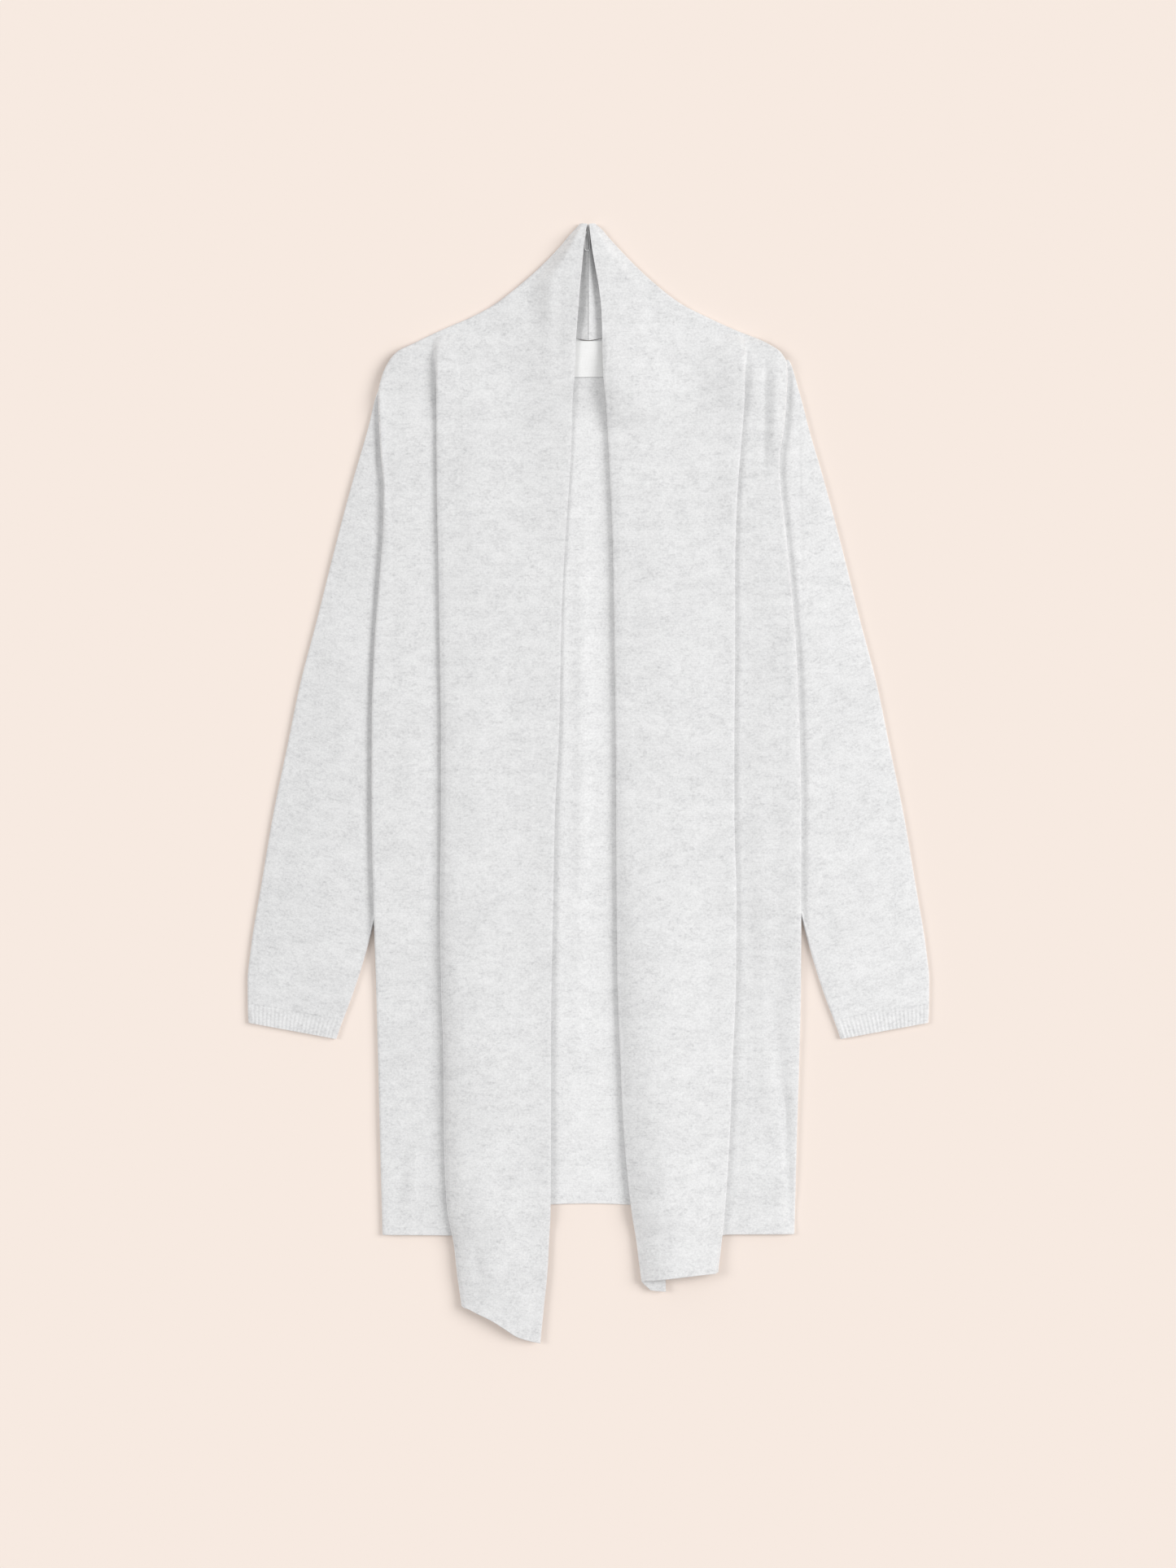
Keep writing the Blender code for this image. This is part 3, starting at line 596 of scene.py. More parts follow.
def sleeve_lift(x, drop):
    """How high the sleeve underneath raises the body."""
    inner = np.where(x < 0, full_lift("left", drop), full_lift("right", drop))
    past_edge = inner - np.where(x < 0, EDGE["left"](drop), EDGE["right"](drop))
    lift = SLEEVE_LIFT * (1 - ease(past_edge, 0.0, LIFT_LEAVES))
    return lift * ease(np.abs(x), inner - LIFT_RAMP, inner) * ease(drop, HEAD_LIFT_START, HEAD_LIFT_END)


def back_hem(x):
    """Drop of the back's hem, which hangs lower at the sides."""
    return BACK_HEM_CENTRE + BACK_HEM_FALL * (x / BACK_HEM_HALF_WIDTH) ** 2


def front_level(x, drop):
    """Height that the cloth under a front adds: the sleeve, or the missing back below its hem."""
    past_hem = drop - back_hem(x)
    return sleeve_lift(x, drop) - LAYER_PITCH * ease(past_hem, SETTLE_START, SETTLE_END)


def arc(turn, steps):
    """Points of cloth that turns up by an angle over one fold length: how far along and how far up."""
    angle = turn * np.linspace(0, 1, steps + 1)
    radius = FOLD_LENGTH / max(turn, 1e-6)
    return radius * np.sin(angle), radius * (1 - np.cos(angle))


def front_columns(side):
    """The part's column numbers, with finer steps between them."""
    runs = [
        np.linspace(0, EDGE_END, EDGE_STEPS + 1),
        np.linspace(EDGE_END, PANEL_END, SIDE_STEPS + 2)[1:-1],
        np.linspace(PANEL_END, LOW_FOLD_END, ARC_STEPS + 1),
        np.linspace(LOW_FOLD_END, LEG_END, LEG_STEPS + 2)[1:-1],
        np.linspace(LEG_END, HIGH_FOLD_END, ARC_STEPS + 1),
        np.linspace(HIGH_FOLD_END, TOP_END, TOP_STEPS + 1)[1:],
    ]
    if side == "right":
        runs.append(np.linspace(TOP_END, ROLL_END, ARC_STEPS + 1)[1:])
        runs.append(np.linspace(ROLL_END, TUCK_END, ROLL_STEPS + 1)[1:])
    return np.concatenate(runs)


COLUMNS = {side: front_columns(side) for side in SIGN}


def edge_points(side, drop):
    """The cloth's end at the side edge: down to the surface on the body, round the fold on the collar."""
    slanted = slant(EDGE[side], drop)
    outer, radius = HALF_CLOTH * slanted, FOLD_RADIUS * slanted
    middle = HALF_CLOTH + FOLD_RADIUS
    half = EDGE_STEPS // 2
    turned = np.radians(np.linspace(-90, 90, EDGE_STEPS + 1))
    along = outer + radius * (1 - np.cos(turned))
    up = middle + FOLD_RADIUS * np.sin(turned)
    body = ease(drop, SHOULDER_DROP, SHOULDER_DROP + SHOULDER_SETTLES)
    along[:half] = mix(along[:half], outer, body)
    up[:half] = mix(up[:half], middle * np.linspace(0, 1, half + 1)[:-1], body)
    return along, up


def top_height(side, along, fold, width, drop, rise, tuck):
    """Height of the top layer above the side panel."""
    distance, from_edge = along - fold, width - along
    past = ease(distance, DESCENT_START * tuck, tuck + DESCENT)
    crest = PLEAT[side]["crest"](drop) * crest_shape(distance, CREST_RISES(drop))
    crest *= 1 - ease(distance, *CREST_FALLS)
    full, none = (min(COLLAR_RISE_WIDTH * n, COLLAR_RISE_SHARES[n - 1] * width) for n in (1, 2))
    collar = COLLAR_EDGE_RISE * (1 - ease(drop, *COLLAR_RISE_FADES))
    collar += PEAK_RISE[side] * ease(drop, *PEAK_RISE_STARTS) * (1 - ease(drop, *PEAK_RISE_FADES))
    collar *= 1 - ease(from_edge, full, none)
    height = rise * (1 - past) + crest + collar
    if side == "right":
        turn = math.radians(ROLL_UNDER["turn"](drop))
        end = arc(turn, 1)[1][-1] + ROLL_UNDER["tuck"](drop) * math.sin(turn)
        roll = ROLL_CREST(drop) * end / LAYER_PITCH
        roll *= crest_shape(from_edge - FOLD_RADIUS, ROLL_CREST_RISES(drop))
        height += (end + roll) * (1 - ease(from_edge, *ROLL_DESCENT))
    return height


def front_section(side, drop):
    """Middle of the cloth across a front at one drop: distances in from the side edge, and heights."""
    width = EDGE[side](drop) - CENTRE[side](drop)
    base = HALF_CLOTH + LAYER_PITCH
    turn, tuck = math.radians(PLEAT[side]["turn"](drop)), PLEAT[side]["tuck"](drop)
    edge_along, edge_up = edge_points(side, drop)
    start = edge_along[-1]

    roll_turn, roll_tuck = math.radians(ROLL_UNDER["turn"](drop)), ROLL_UNDER["tuck"](drop)
    roll_along, roll_down = arc(roll_turn, ARC_STEPS)
    reach = max(roll_along.max(), roll_along[-1] + roll_tuck * math.cos(roll_turn))
    reach += HALF_CLOTH * math.sin(roll_turn / 2)
    last = min(FOLD_LENGTH + roll_tuck, FLAT_ROLL_SHARE * width)
    roll_bend = float(ease(roll_turn, 0.0, FOLD_BEGINS))
    top_end = width if side == "left" else width - mix(last, reach, roll_bend)

    low_along, low_up = arc(turn, ARC_STEPS)
    leg = (low_along[-1] + tuck * math.cos(turn), low_up[-1] + tuck * math.sin(turn))
    high_along = leg[0] + low_along[-1] - low_along[::-1]
    high_up = leg[1] + low_up[-1] - low_up[::-1]
    middle = high_along[ARC_STEPS // 2] - HALF_CLOTH * math.sin(turn / 2)
    fold = EDGE[side](drop) - PLEAT[side]["fold"](drop)
    origin = fold - middle
    leg_shares = np.linspace(0, 1, LEG_STEPS + 2)[1:-1]
    along = np.concatenate([
        np.linspace(start, origin, SIDE_STEPS + 2)[1:-1],
        origin + low_along,
        origin + mix(low_along[-1], leg[0], leg_shares),
        origin + high_along,
        np.linspace(origin + high_along[-1], top_end, TOP_STEPS + 1)[1:],
    ])
    up = np.concatenate([
        np.zeros(SIDE_STEPS),
        low_up,
        mix(low_up[-1], leg[1], leg_shares),
        high_up,
        np.zeros(TOP_STEPS),
    ])

    bend = float(ease(turn, 0.0, FOLD_BEGINS))
    numbers = COLUMNS[side][len(edge_along):][: len(along)]
    narrow = (numbers - EDGE_END) / (TOP_END - EDGE_END)
    wide = np.interp(numbers, FLAT_COLUMNS, FLAT_SHARES)
    flat = mix(start, top_end, mix(narrow, wide, ease(width, *NARROW_AND_WIDE)))
    along = mix(flat, along, bend)
    top = base + top_height(side, along, fold, width, drop, high_up[-1] * bend, tuck)
    up = base + up * bend
    first_top = len(along) - TOP_STEPS if bend > 0 else 0
    up[first_top:] = top[first_top:]

    along, up = np.concatenate([edge_along, along]), np.concatenate([edge_up, up])
    if side == "right":
        height = up[-1]
        ends = np.linspace(0, 1, ROLL_STEPS + 1)[1:]
        tuck_along = roll_along[-1] + ends * roll_tuck * math.cos(roll_turn)
        tuck_down = roll_down[-1] + ends * roll_tuck * math.sin(roll_turn)
        bent_along = width - reach + np.append(roll_along[1:], tuck_along)
        bent_up = height - np.append(roll_down[1:], tuck_down)
        shares = (COLUMNS[side][-len(bent_along):] - TOP_END) / (TUCK_END - TOP_END)
        flat_along = width - last * (1 - shares)
        along = np.append(along, mix(flat_along, bent_along, roll_bend))
        up = np.append(up, mix(height, bent_up, roll_bend))
    return along, up


def creases(layer, x, drop):
    """Height that a layer's creases add."""
    total = np.zeros(np.shape(x))
    rows = CREASES[layer]
    for x1, drop1, x2, drop2, height, width in zip(*(rows[name] for name in rows)):
        along = (drop - drop1) / (drop2 - drop1)
        fade = ease(along, 0.0, CREASE_FADE) * (1 - ease(along, 1 - CREASE_FADE, 1.0))
        across = (x - mix(x1, x2, along)) / width
        total = total + height * fade * np.exp(-across * across)
    return total


def ripple(x, drop, z):
    """Unevenness that the layers share: none where the cloth meets the surface."""
    flat_x, flat_drop, flat_z = np.ravel(x), np.ravel(drop), np.ravel(z)
    heights = []
    for px, pd, pz in zip(flat_x, flat_drop, flat_z):
        place = Vector((px / RIPPLE_WIDTH, pd / RIPPLE_LENGTH, 0.0))
        value = 0.5 + 0.5 * noise.noise(place) + FINE_SHARE * noise.noise(place * FINE_RIPPLES + FINE_OFFSET)
        heights.append(value * min(pz / (HALF_CLOTH + LAYER_PITCH), 1.0))
    return RIPPLE_HEIGHT * np.reshape(heights, np.shape(x))


def rounded(distance):
    """Half the cloth's thickness at a distance from its free edge."""
    share = np.clip(distance / EDGE_ROUND, 0.0, 1.0)
    return HALF_CLOTH * np.maximum(np.sqrt(1 - (1 - share) ** 2), EDGE_THIN)


def world(x, drop, z):
    """Garment coordinates to millimetres in the part's frame."""
    return np.stack(np.broadcast_arrays(x, LENGTH / 2 - drop, z), axis=-1).astype(float)


def under_collar(side, drop):
    """A row of the collar behind its fold, from the centre back seam out to the fold."""
    along = edge_points(side, drop)[0][0]
    share = 1 - np.arange(UNDER_COLLAR_STEPS) / UNDER_COLLAR_STEPS
    down = (drop - TOP_DROP) / (SHOULDER_DROP - TOP_DROP)
    x = mix(EDGE[side](drop) - along, SEAM_GAP / 6, share)
    sag = NECK_SAG * down * np.sin(np.pi * share)
    place = drop + down * (NECK_DROP - SHOULDER_DROP) * share + sag
    ridge_width = CENTRE_RIDGE_WIDTH + CENTRE["left"](place) / 2
    ridge = CENTRE_RIDGE * np.exp(-((x / ridge_width) ** 2)) * ease(place, *CENTRE_RIDGE_STARTS)
    return SIGN[side] * x, place, HALF_CLOTH + ridge


def hem_drops(side, x, number):
    """Drops of a column's last rows: to the back's hem, across the step off it, and on to its own hem."""
    hem = float(HEM[side](number))
    step = min(back_hem(x) + SETTLE_START, hem - LAST_STEP_ROOM)
    below = min(step + SETTLE_END - SETTLE_START, hem - LAST_RUN_ROOM)
    stops = (BODY_END, step, below, hem - EDGE_DISTANCES[0])
    runs = [np.linspace(*stops[i:i + 2], steps + 1)[1:] for i, steps in enumerate(HEM_STEPS)]
    return np.concatenate([*runs[:-1], runs[-1][:-1], hem - np.array(EDGE_DISTANCES)])


def front_shell(side):
    """Grid of middle points of a front and half its thickness there, empty where it has no cloth."""
    collar = np.linspace(TOP_DROP, SHOULDER_DROP, int(SHOULDER_DROP / COLLAR_STEP) + 1)
    yoke = np.linspace(SHOULDER_DROP, BODY_TOP, int((BODY_TOP - SHOULDER_DROP) / COLLAR_STEP) + 1)[1:]
    body = np.linspace(BODY_TOP, BODY_END, int((BODY_END - BODY_TOP) / BODY_STEP) + 1)[1:]
    numbers = COLUMNS[side]
    columns = len(numbers)
    xs, drops, ups = [], [], []
    for drop in np.concatenate([collar, yoke, body]):
        along, up = front_section(side, drop)
        xs.append(SIGN[side] * (EDGE[side](drop) - along))
        drops.append(np.full(columns, drop))
        ups.append(up)
    ends = np.array([hem_drops(side, x, number) for x, number in zip(xs[-1], numbers)]).T
    levels = np.arange(BODY_END, LENGTH + HEM_SECTION_STEP, HEM_SECTION_STEP)
    sections = np.array([front_section(side, drop) for drop in levels])
    for row in ends:
        along = np.array([np.interp(drop, levels, sections[:, 0, i]) for i, drop in enumerate(row)])
        ups.append([np.interp(drop, levels, sections[:, 1, i]) for i, drop in enumerate(row)])
        drops.append(row)
        xs.append(SIGN[side] * (EDGE[side](row) - along))
    x, drop, up = np.array(xs), np.array(drops), np.array(ups)
    z = up + front_level(x, drop)
    z = z + np.where(numbers < PANEL_END, creases("side", x, drop), 0.0) * np.clip(up / LAYER_PITCH, 0, 1)
    on_top = np.clip((numbers - HIGH_FOLD_END) / TOP_BLEND, 0, 1) * np.clip(TUCK_END - numbers, 0, 1)
    z = z + on_top * creases("top", x, drop)
    to_hem = HEM[side](numbers) - drop
    z = z + HEM_LIP * (1 - ease(to_hem, 0.0, HEM_LIP_WIDTH)) * np.where(numbers < EDGE_END, 0.0, 1.0)
    z = z + ripple(x, drop, up)

    half = rounded(to_hem)
    if side == "left":
        half = np.minimum(half, rounded(np.abs(SIGN[side] * x - CENTRE[side](drop))))
    grid = np.full((len(xs), UNDER_COLLAR_STEPS + columns, 3), np.nan)
    grid[:, UNDER_COLLAR_STEPS:] = world(x, drop, z)
    thickness = np.full(grid.shape[:2], HALF_CLOTH)
    thickness[:, UNDER_COLLAR_STEPS:] = half
    for i, row in enumerate(collar):
        grid[i, :UNDER_COLLAR_STEPS] = world(*under_collar(side, row))
    return grid, thickness


def neck_seam(x):
    """Drop of the seam between collar and back, at a distance from the centre line."""
    share = np.clip(1 - np.abs(x) / NECK_HALF_WIDTH, 0.0, 1.0)
    return mix(SHOULDER_DROP, NECK_DROP, share) + NECK_SAG * np.sin(np.pi * share)


NECK_HALF_WIDTH = EDGE["left"](SHOULDER_DROP) - edge_points("left", SHOULDER_DROP)[0][0]


def back_top(x):
    """Drop of the back's upper edge: the neck seam in the middle and the shoulder seams beside it."""
    edge = EDGE["left" if x < 0 else "right"]
    drops = np.linspace(TOP_DROP, SHOULDER_END_DROP, SHOULDER_STEPS + 1)
    outline = float(np.interp(abs(x), edge(drops), drops))
    fall = 1.0 / max(slant(edge, outline) ** 2 - 1.0, LEAST_SLANT) ** 0.5
    inset = CLOTH + SEAM_GAP + NECK_POINT_INSET * (1 - ease(abs(x), *NECK_POINT))
    inset += SHOULDER_POINT_INSET * ease(abs(x), *SHOULDER_POINT)
    return float(max(neck_seam(x) + NECK_SEAM_GAP, outline + inset * math.hypot(1.0, fall)))


def back_shell():
    """Grid of middle points of the back, and half its thickness there."""
    share = np.linspace(-1, 1, BACK_STEPS + 1)

    def widths(drop):
        drop = np.maximum(drop, TIP_DROP)
        return share * (np.where(share < 0, EDGE["left"](drop), EDGE["right"](drop)) - BACK_INSET)

    tops = np.array([back_top(x) for x in widths(TIP_DROP)])
    rows = [mix(tops, BODY_TOP, down) for down in np.linspace(0, 1, BACK_TOP_STEPS + 1)[:-1]]
    rows += [np.full(len(share), drop) for drop in np.arange(BODY_TOP, BODY_END, BODY_STEP)]
    hems = back_hem(widths(BACK_HEM_CENTRE))
    shares = np.linspace(0, 1, BACK_HEM_STEPS + 1)[:-1]
    rows += [mix(BODY_END, hems - EDGE_DISTANCES[0], down) for down in shares]
    rows += [hems - distance for distance in EDGE_DISTANCES]
    drop = np.array(rows)
    x = np.array([widths(row) for row in rows])
    z = HALF_CLOTH + sleeve_lift(x, drop) + creases("back", x, drop)
    z = z + BACK_LIP * (1 - ease(hems - drop, 0.0, HEM_LIP_WIDTH))
    z = z + ripple(x, drop, np.full(x.shape, HALF_CLOTH))
    return world(x, drop, z), rounded(hems - drop)


def shell_object(name, grid, half, material):
    """A wall of cloth round a grid of middle points, closed at every edge."""
    rows, columns = grid.shape[:2]
    there = ~np.isnan(grid[..., 0])
    whole = there[:-1, :-1] & there[1:, :-1] & there[:-1, 1:] & there[1:, 1:]
    normal = np.cross(grid[1:, 1:] - grid[:-1, :-1], grid[1:, :-1] - grid[:-1, 1:])
    normal /= np.maximum(np.linalg.norm(normal, axis=-1, keepdims=True), 1e-9)
    normal[~whole] = 0.0
    total = np.zeros(grid.shape)
    for di, dj in ((0, 0), (0, 1), (1, 1), (1, 0)):
        total[di:rows - 1 + di, dj:columns - 1 + dj] += normal
    total /= np.maximum(np.linalg.norm(total, axis=-1, keepdims=True), 1e-9)
    shift = total * half[..., None]
    number = np.full((rows, columns), -1)
    number[there] = np.arange(there.sum())
    count = int(there.sum())
    points = np.concatenate([(grid + shift)[there], (grid - shift)[there]])
    points[:, 2] = np.maximum(points[:, 2], 0.0)

    i, j = np.nonzero(whole)
    ring = np.stack([number[i, j], number[i, j + 1], number[i + 1, j + 1], number[i + 1, j]], axis=1)
    sides = np.concatenate([ring[:, [a, b]] for a, b in ((0, 1), (1, 2), (2, 3), (3, 0))])
    keys = np.sort(sides, axis=1)
    _, first, uses = np.unique(keys, axis=0, return_index=True, return_counts=True)
    rim = sides[first[uses == 1]]
    walls = np.stack([rim[:, 1], rim[:, 0], rim[:, 0] + count, rim[:, 1] + count], axis=1)
    faces = np.concatenate([ring, ring[:, ::-1] + count, walls])
    return mesh_object(name, points, faces.tolist(), material)


def mesh_object(name, points, faces, material):
    """A smooth mesh in metres that faces out."""
    mesh = bpy.data.meshes.new(name)
    mesh.from_pydata((np.asarray(points) * MM).tolist(), [], faces)
    work = bmesh.new()
    work.from_mesh(mesh)
    bmesh.ops.recalc_face_normals(work, faces=work.faces)
    work.to_mesh(mesh)
    work.free()
    mesh.shade_smooth()
    mesh.set_sharp_from_angle(angle=SHARP_ANGLE)
    mesh.materials.append(material)
    obj = bpy.data.objects.new(name, mesh)
    bpy.context.collection.objects.link(obj)
    return obj


def dress(obj, node):
    """The piece rides the garment and stands for a node of the part, whose solid it hides."""
    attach(obj, "root")
    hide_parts(node)
    return obj


def ring_shares(top_steps):
    """Points round a flattened tube: the share of the width, and the direction out of the middle there."""
    side = np.linspace(-90, 90, TUBE_SIDE_STEPS + 1)[1:-1]
    floor_points, top_points = TUBE_FLOOR_STEPS + 1, top_steps + 1
    share = [np.linspace(0, 1, floor_points), np.ones(len(side))]
    share += [np.linspace(1, 0, top_points), np.zeros(len(side))]
    angle = [np.full(floor_points, -90.0), side, np.full(top_points, 90.0), 180.0 + side]
    return np.concatenate(share), np.radians(np.concatenate(angle))


def tube_ring(outer, inner, inset, top_steps, raise_top):
    """One ring of a flattened tube between two edge points, its wall face moved in by inset."""
    width = math.dist(outer, inner)
    radius = SLEEVE_HEIGHT / 2
    share, angle = ring_shares(top_steps)
    along = radius + (width - 2 * radius) * share + (radius - inset) * np.cos(angle)
    x = mix(outer[0], inner[0], along / width)
    drop = mix(outer[1], inner[1], along / width)
    top = angle == math.radians(90.0)
    up = radius + (radius - inset) * np.sin(angle) + np.where(top, raise_top(share, x, drop), 0.0)
    return world(x, drop, up)


def tube_object(name, rings, material):
    """A tube whose wall lies between an outer and an inner ring at each station."""
    count = len(rings[0][0])
    points = np.concatenate([layer for ring in rings for layer in ring])
    faces = []

    def at(station, layer, i):
        return (2 * station + layer) * count + i % count

    for station in range(len(rings) - 1):
        for layer in range(2):
            for i in range(count):
                quad = [at(station, layer, i), at(station, layer, i + 1)]
                quad += [at(station + 1, layer, i + 1), at(station + 1, layer, i)]
                faces.append(quad if layer == 0 else quad[::-1])
    for station in (0, len(rings) - 1):
        for i in range(count):
            wall = [at(station, 0, i), at(station, 0, i + 1), at(station, 1, i + 1), at(station, 1, i)]
            faces.append(wall if station else wall[::-1])
    return mesh_object(name, points, faces, material)


def sleeve_object(side, material):
    """The sleeve, with the crown of its upper wall, its creases and the shared ripples."""
    columns = {name: np.concatenate([SLEEVE_HEAD[side][name], SLEEVE[name]]) for name in SLEEVE}
    stations = np.arange(len(columns["outer"]), dtype=float)
    read = {name: smooth_curve(stations, columns[name]) for name in columns}
    rings = []
    for station in np.linspace(0, stations[-1], SLEEVE_STATIONS):
        row = {name: float(read[name](station)) for name in read}
        outer = (SIGN[side] * row["outer"], row["outer_drop"])
        inner = (SIGN[side] * row["inner"], row["inner_drop"])

        def crown(share, x, drop, row=row):
            rise = row["crown"] * np.sin(math.pi * np.minimum(share / row["clear"], 1.0)) ** 2
            fade = CLEAR_FADE if row["clear"] < 1 else TUBE_EDGE_FADE
            clear = ease(row["clear"] - share, 0.0, fade)
            soft = creases("sleeve", np.abs(x), drop) + ripple(x, drop, np.full(x.shape, SLEEVE_HEIGHT))
            beside = (np.abs(x) - EDGE[side](drop) - VALLEY_OFFSET) / VALLEY_WIDTH
            valley = VALLEY_DEPTH * np.exp(-beside * beside)
            return rise + ease(share, 0.0, TUBE_EDGE_FADE) * (clear * soft - valley)

        rings.append([tube_ring(outer, inner, inset, SLEEVE_TOP_STEPS, crown) for inset in (0.0, CLOTH)])
    return tube_object(f"knit_sleeve_{side}", rings, material)


def cuff_object(side, material):
    """The ribbed band: its ribs rise from the plain knit and stand highest at the wrist."""
    stations = np.arange(len(CUFF["outer"]), dtype=float)
    read = {name: smooth_curve(stations, CUFF[name]) for name in CUFF}
    rings = []
    for station in np.linspace(0, stations[-1], CUFF_STATIONS):
        row = {name: float(read[name](station)) for name in read}
        outer = (SIGN[side] * row["outer"], row["outer_drop"] + CUFF_SEAM)
        inner = (SIGN[side] * row["inner"], row["inner_drop"] + CUFF_SEAM)
        down = float(ease(station / stations[-1], 0.0, RIB_FULL_SHARE))
        height = RIB_HEIGHT * mix(RIB_START_SHARE, 1.0, down)

        def rib(share, x, drop, height=height):
            return height * (0.5 - 0.5 * np.cos(2 * math.pi * CUFF_RIBS * share))

        steps = STEPS_IN_A_RIB * CUFF_RIBS
        ribbed = tube_ring(outer, inner, 0.0, steps, rib)
        plain = tube_ring(outer, inner, CLOTH, steps, lambda share, x, drop: 0.0 * share)
        rings.append([ribbed, plain])
    return tube_object(f"ribbed_cuff_{side}", rings, material)


def label_object(material):
    """A bare woven label, its ends raised a little, which lies softly on the back."""
    across, down = (np.linspace(0, 1, steps + 1) for steps in LABEL_STEPS)
    x = LABEL_CENTRE_X + LABEL_WIDTH * (across[None, :] - 0.5)
    drop = NECK_DROP + 2 * SEAM_GAP + LABEL_HEIGHT * down[:, None]
    x, drop = np.broadcast_arrays(x, drop)
    from_end = np.minimum(x - x.min(), x.max() - x)
    bow = LABEL_BOW * np.exp(-(((x - LABEL_CENTRE_X) / LABEL_BOW_WIDTH) ** 2))
    bow = bow + LABEL_END_RISE * (1 - ease(from_end, *LABEL_ENDS))
    z = CLOTH + SEAM_GAP + LABEL_LIFT + LABEL_THICKNESS / 2 + bow
    z = z + ripple(x, drop, np.full(x.shape, CLOTH))
    half = np.full(x.shape, LABEL_THICKNESS / 2)
    return shell_object("woven_label", world(x, drop, z), half, material)


def loop_object(material):
    """A cord loop that hangs from the peak, inside the collar."""
    half = LOOP_WIDTH / 2
    height = CLOTH + CENTRE_RIDGE + LOOP_CORD / 2
    bend_drop = LOOP_BOTTOM_DROP - half
    leg = np.linspace(LOOP_TOP_DROP, bend_drop, LOOP_LEG_STEPS + 1)
    route = [(LOOP_X - half * ease(drop, *LOOP_WIDENS), drop) for drop in leg]
    for i in range(1, LOOP_BEND_STEPS):
        angle = math.pi * (1 - i / LOOP_BEND_STEPS)
        route.append((LOOP_X + half * math.cos(angle), bend_drop + half * math.sin(angle)))
    route += [(2 * LOOP_X - x, drop) for x, drop in reversed(route[:len(leg)])]
    path = np.array([(x, LENGTH / 2 - drop, height) for x, drop in route])
    along = np.gradient(path, axis=0)
    along /= np.linalg.norm(along, axis=1, keepdims=True)
    points = []
    for place, across in zip(path, np.cross(along, UP)):
        for angle in np.linspace(0, 2 * math.pi, LOOP_SIDES, endpoint=False):
            points.append(place + LOOP_CORD / 2 * (across * math.cos(angle) + UP * math.sin(angle)))
    faces = []
    for start in range(0, LOOP_SIDES * (len(path) - 1), LOOP_SIDES):
        for i in range(LOOP_SIDES):
            j = (i + 1) % LOOP_SIDES
            faces.append([start + i, start + j, start + LOOP_SIDES + j, start + LOOP_SIDES + i])
    faces.append(list(range(LOOP_SIDES))[::-1])
    faces.append(list(range(len(points) - LOOP_SIDES, len(points))))
    return mesh_object("cord_loop", points, faces, material)


class Nodes:
    """Adds nodes to a material and links them by name."""

    def __init__(self, material):
        material.use_nodes = True
        self.tree = material.node_tree
        self.shader = self.tree.nodes["Principled BSDF"]

    def add(self, kind, values=None, **settings):
        node = self.tree.nodes.new(kind)
        for name, value in settings.items():
            setattr(node, name, value)
        for name, value in (values or {}).items():
            self.set(node.inputs[name], value)
        return node

    def set(self, socket, value):
        if isinstance(value, bpy.types.NodeSocket):
            self.tree.links.new(value, socket)
        else:
            socket.default_value = value

    def math(self, operation, *values):
        node = self.add("ShaderNodeMath", operation=operation)
        for socket, value in zip(node.inputs, values):
            self.set(socket, value)
        return node.outputs[0]

    def place(self, scale, turn=0.0, offset=(0.0, 0.0, 0.0)):
        """Object coordinates in units of the given lengths in millimetres, turned about Z."""
        source = self.add("ShaderNodeTexCoord").outputs["Object"]
        turned = self.add("ShaderNodeMapping", {"Vector": source, "Rotation": (0.0, 0.0, math.radians(turn))})
        sizes = tuple(1 / (MM * length) for length in scale)
        values = {"Vector": turned.outputs[0], "Scale": sizes, "Location": offset}
        return self.add("ShaderNodeMapping", values).outputs[0]

    def noise(self, vector, detail=2.0, roughness=0.5, distortion=0.0):
        values = {"Vector": vector, "Scale": 1.0, "Detail": detail, "Roughness": roughness}
        values["Distortion"] = distortion
        return self.add("ShaderNodeTexNoise", values).outputs["Fac"]

    def spread(self, value, low, high):
        """0 at low and 1 at high, smooth between."""
        values = {"Value": value, "From Min": low, "From Max": high}
        return self.add("ShaderNodeMapRange", values, interpolation_type="SMOOTHSTEP").outputs[0]

    def blend(self, factor, first, second):
        """The first colour where the factor is 0 and the second where it is 1."""
        node = self.add("ShaderNodeMix", {0: factor}, data_type="RGBA")
        node.inputs[6].default_value = first
        node.inputs[7].default_value = second
        return node.outputs[2]


def stitches(nodes, turn):
    """Height of plain knit: two slanting legs to each stitch, in columns."""
    apart = nodes.add("ShaderNodeSeparateXYZ", {0: nodes.place((WALE, COURSE, 1000.0), turn)})
    column = nodes.math("FRACT", apart.outputs[0])
    from_middle = nodes.math("MULTIPLY", nodes.math("ABSOLUTE", nodes.math("SUBTRACT", column, 0.5)), 2.0)
    leg = nodes.math("SINE", nodes.math("MULTIPLY", from_middle, math.pi))
    phase = nodes.math("ADD", apart.outputs[1], nodes.math("MULTIPLY", from_middle, 0.6))
    wave = nodes.math("SINE", nodes.math("MULTIPLY", phase, 2 * math.pi))
    return nodes.math("MULTIPLY", leg, nodes.math("ADD", nodes.math("MULTIPLY", wave, 0.35), 0.65))


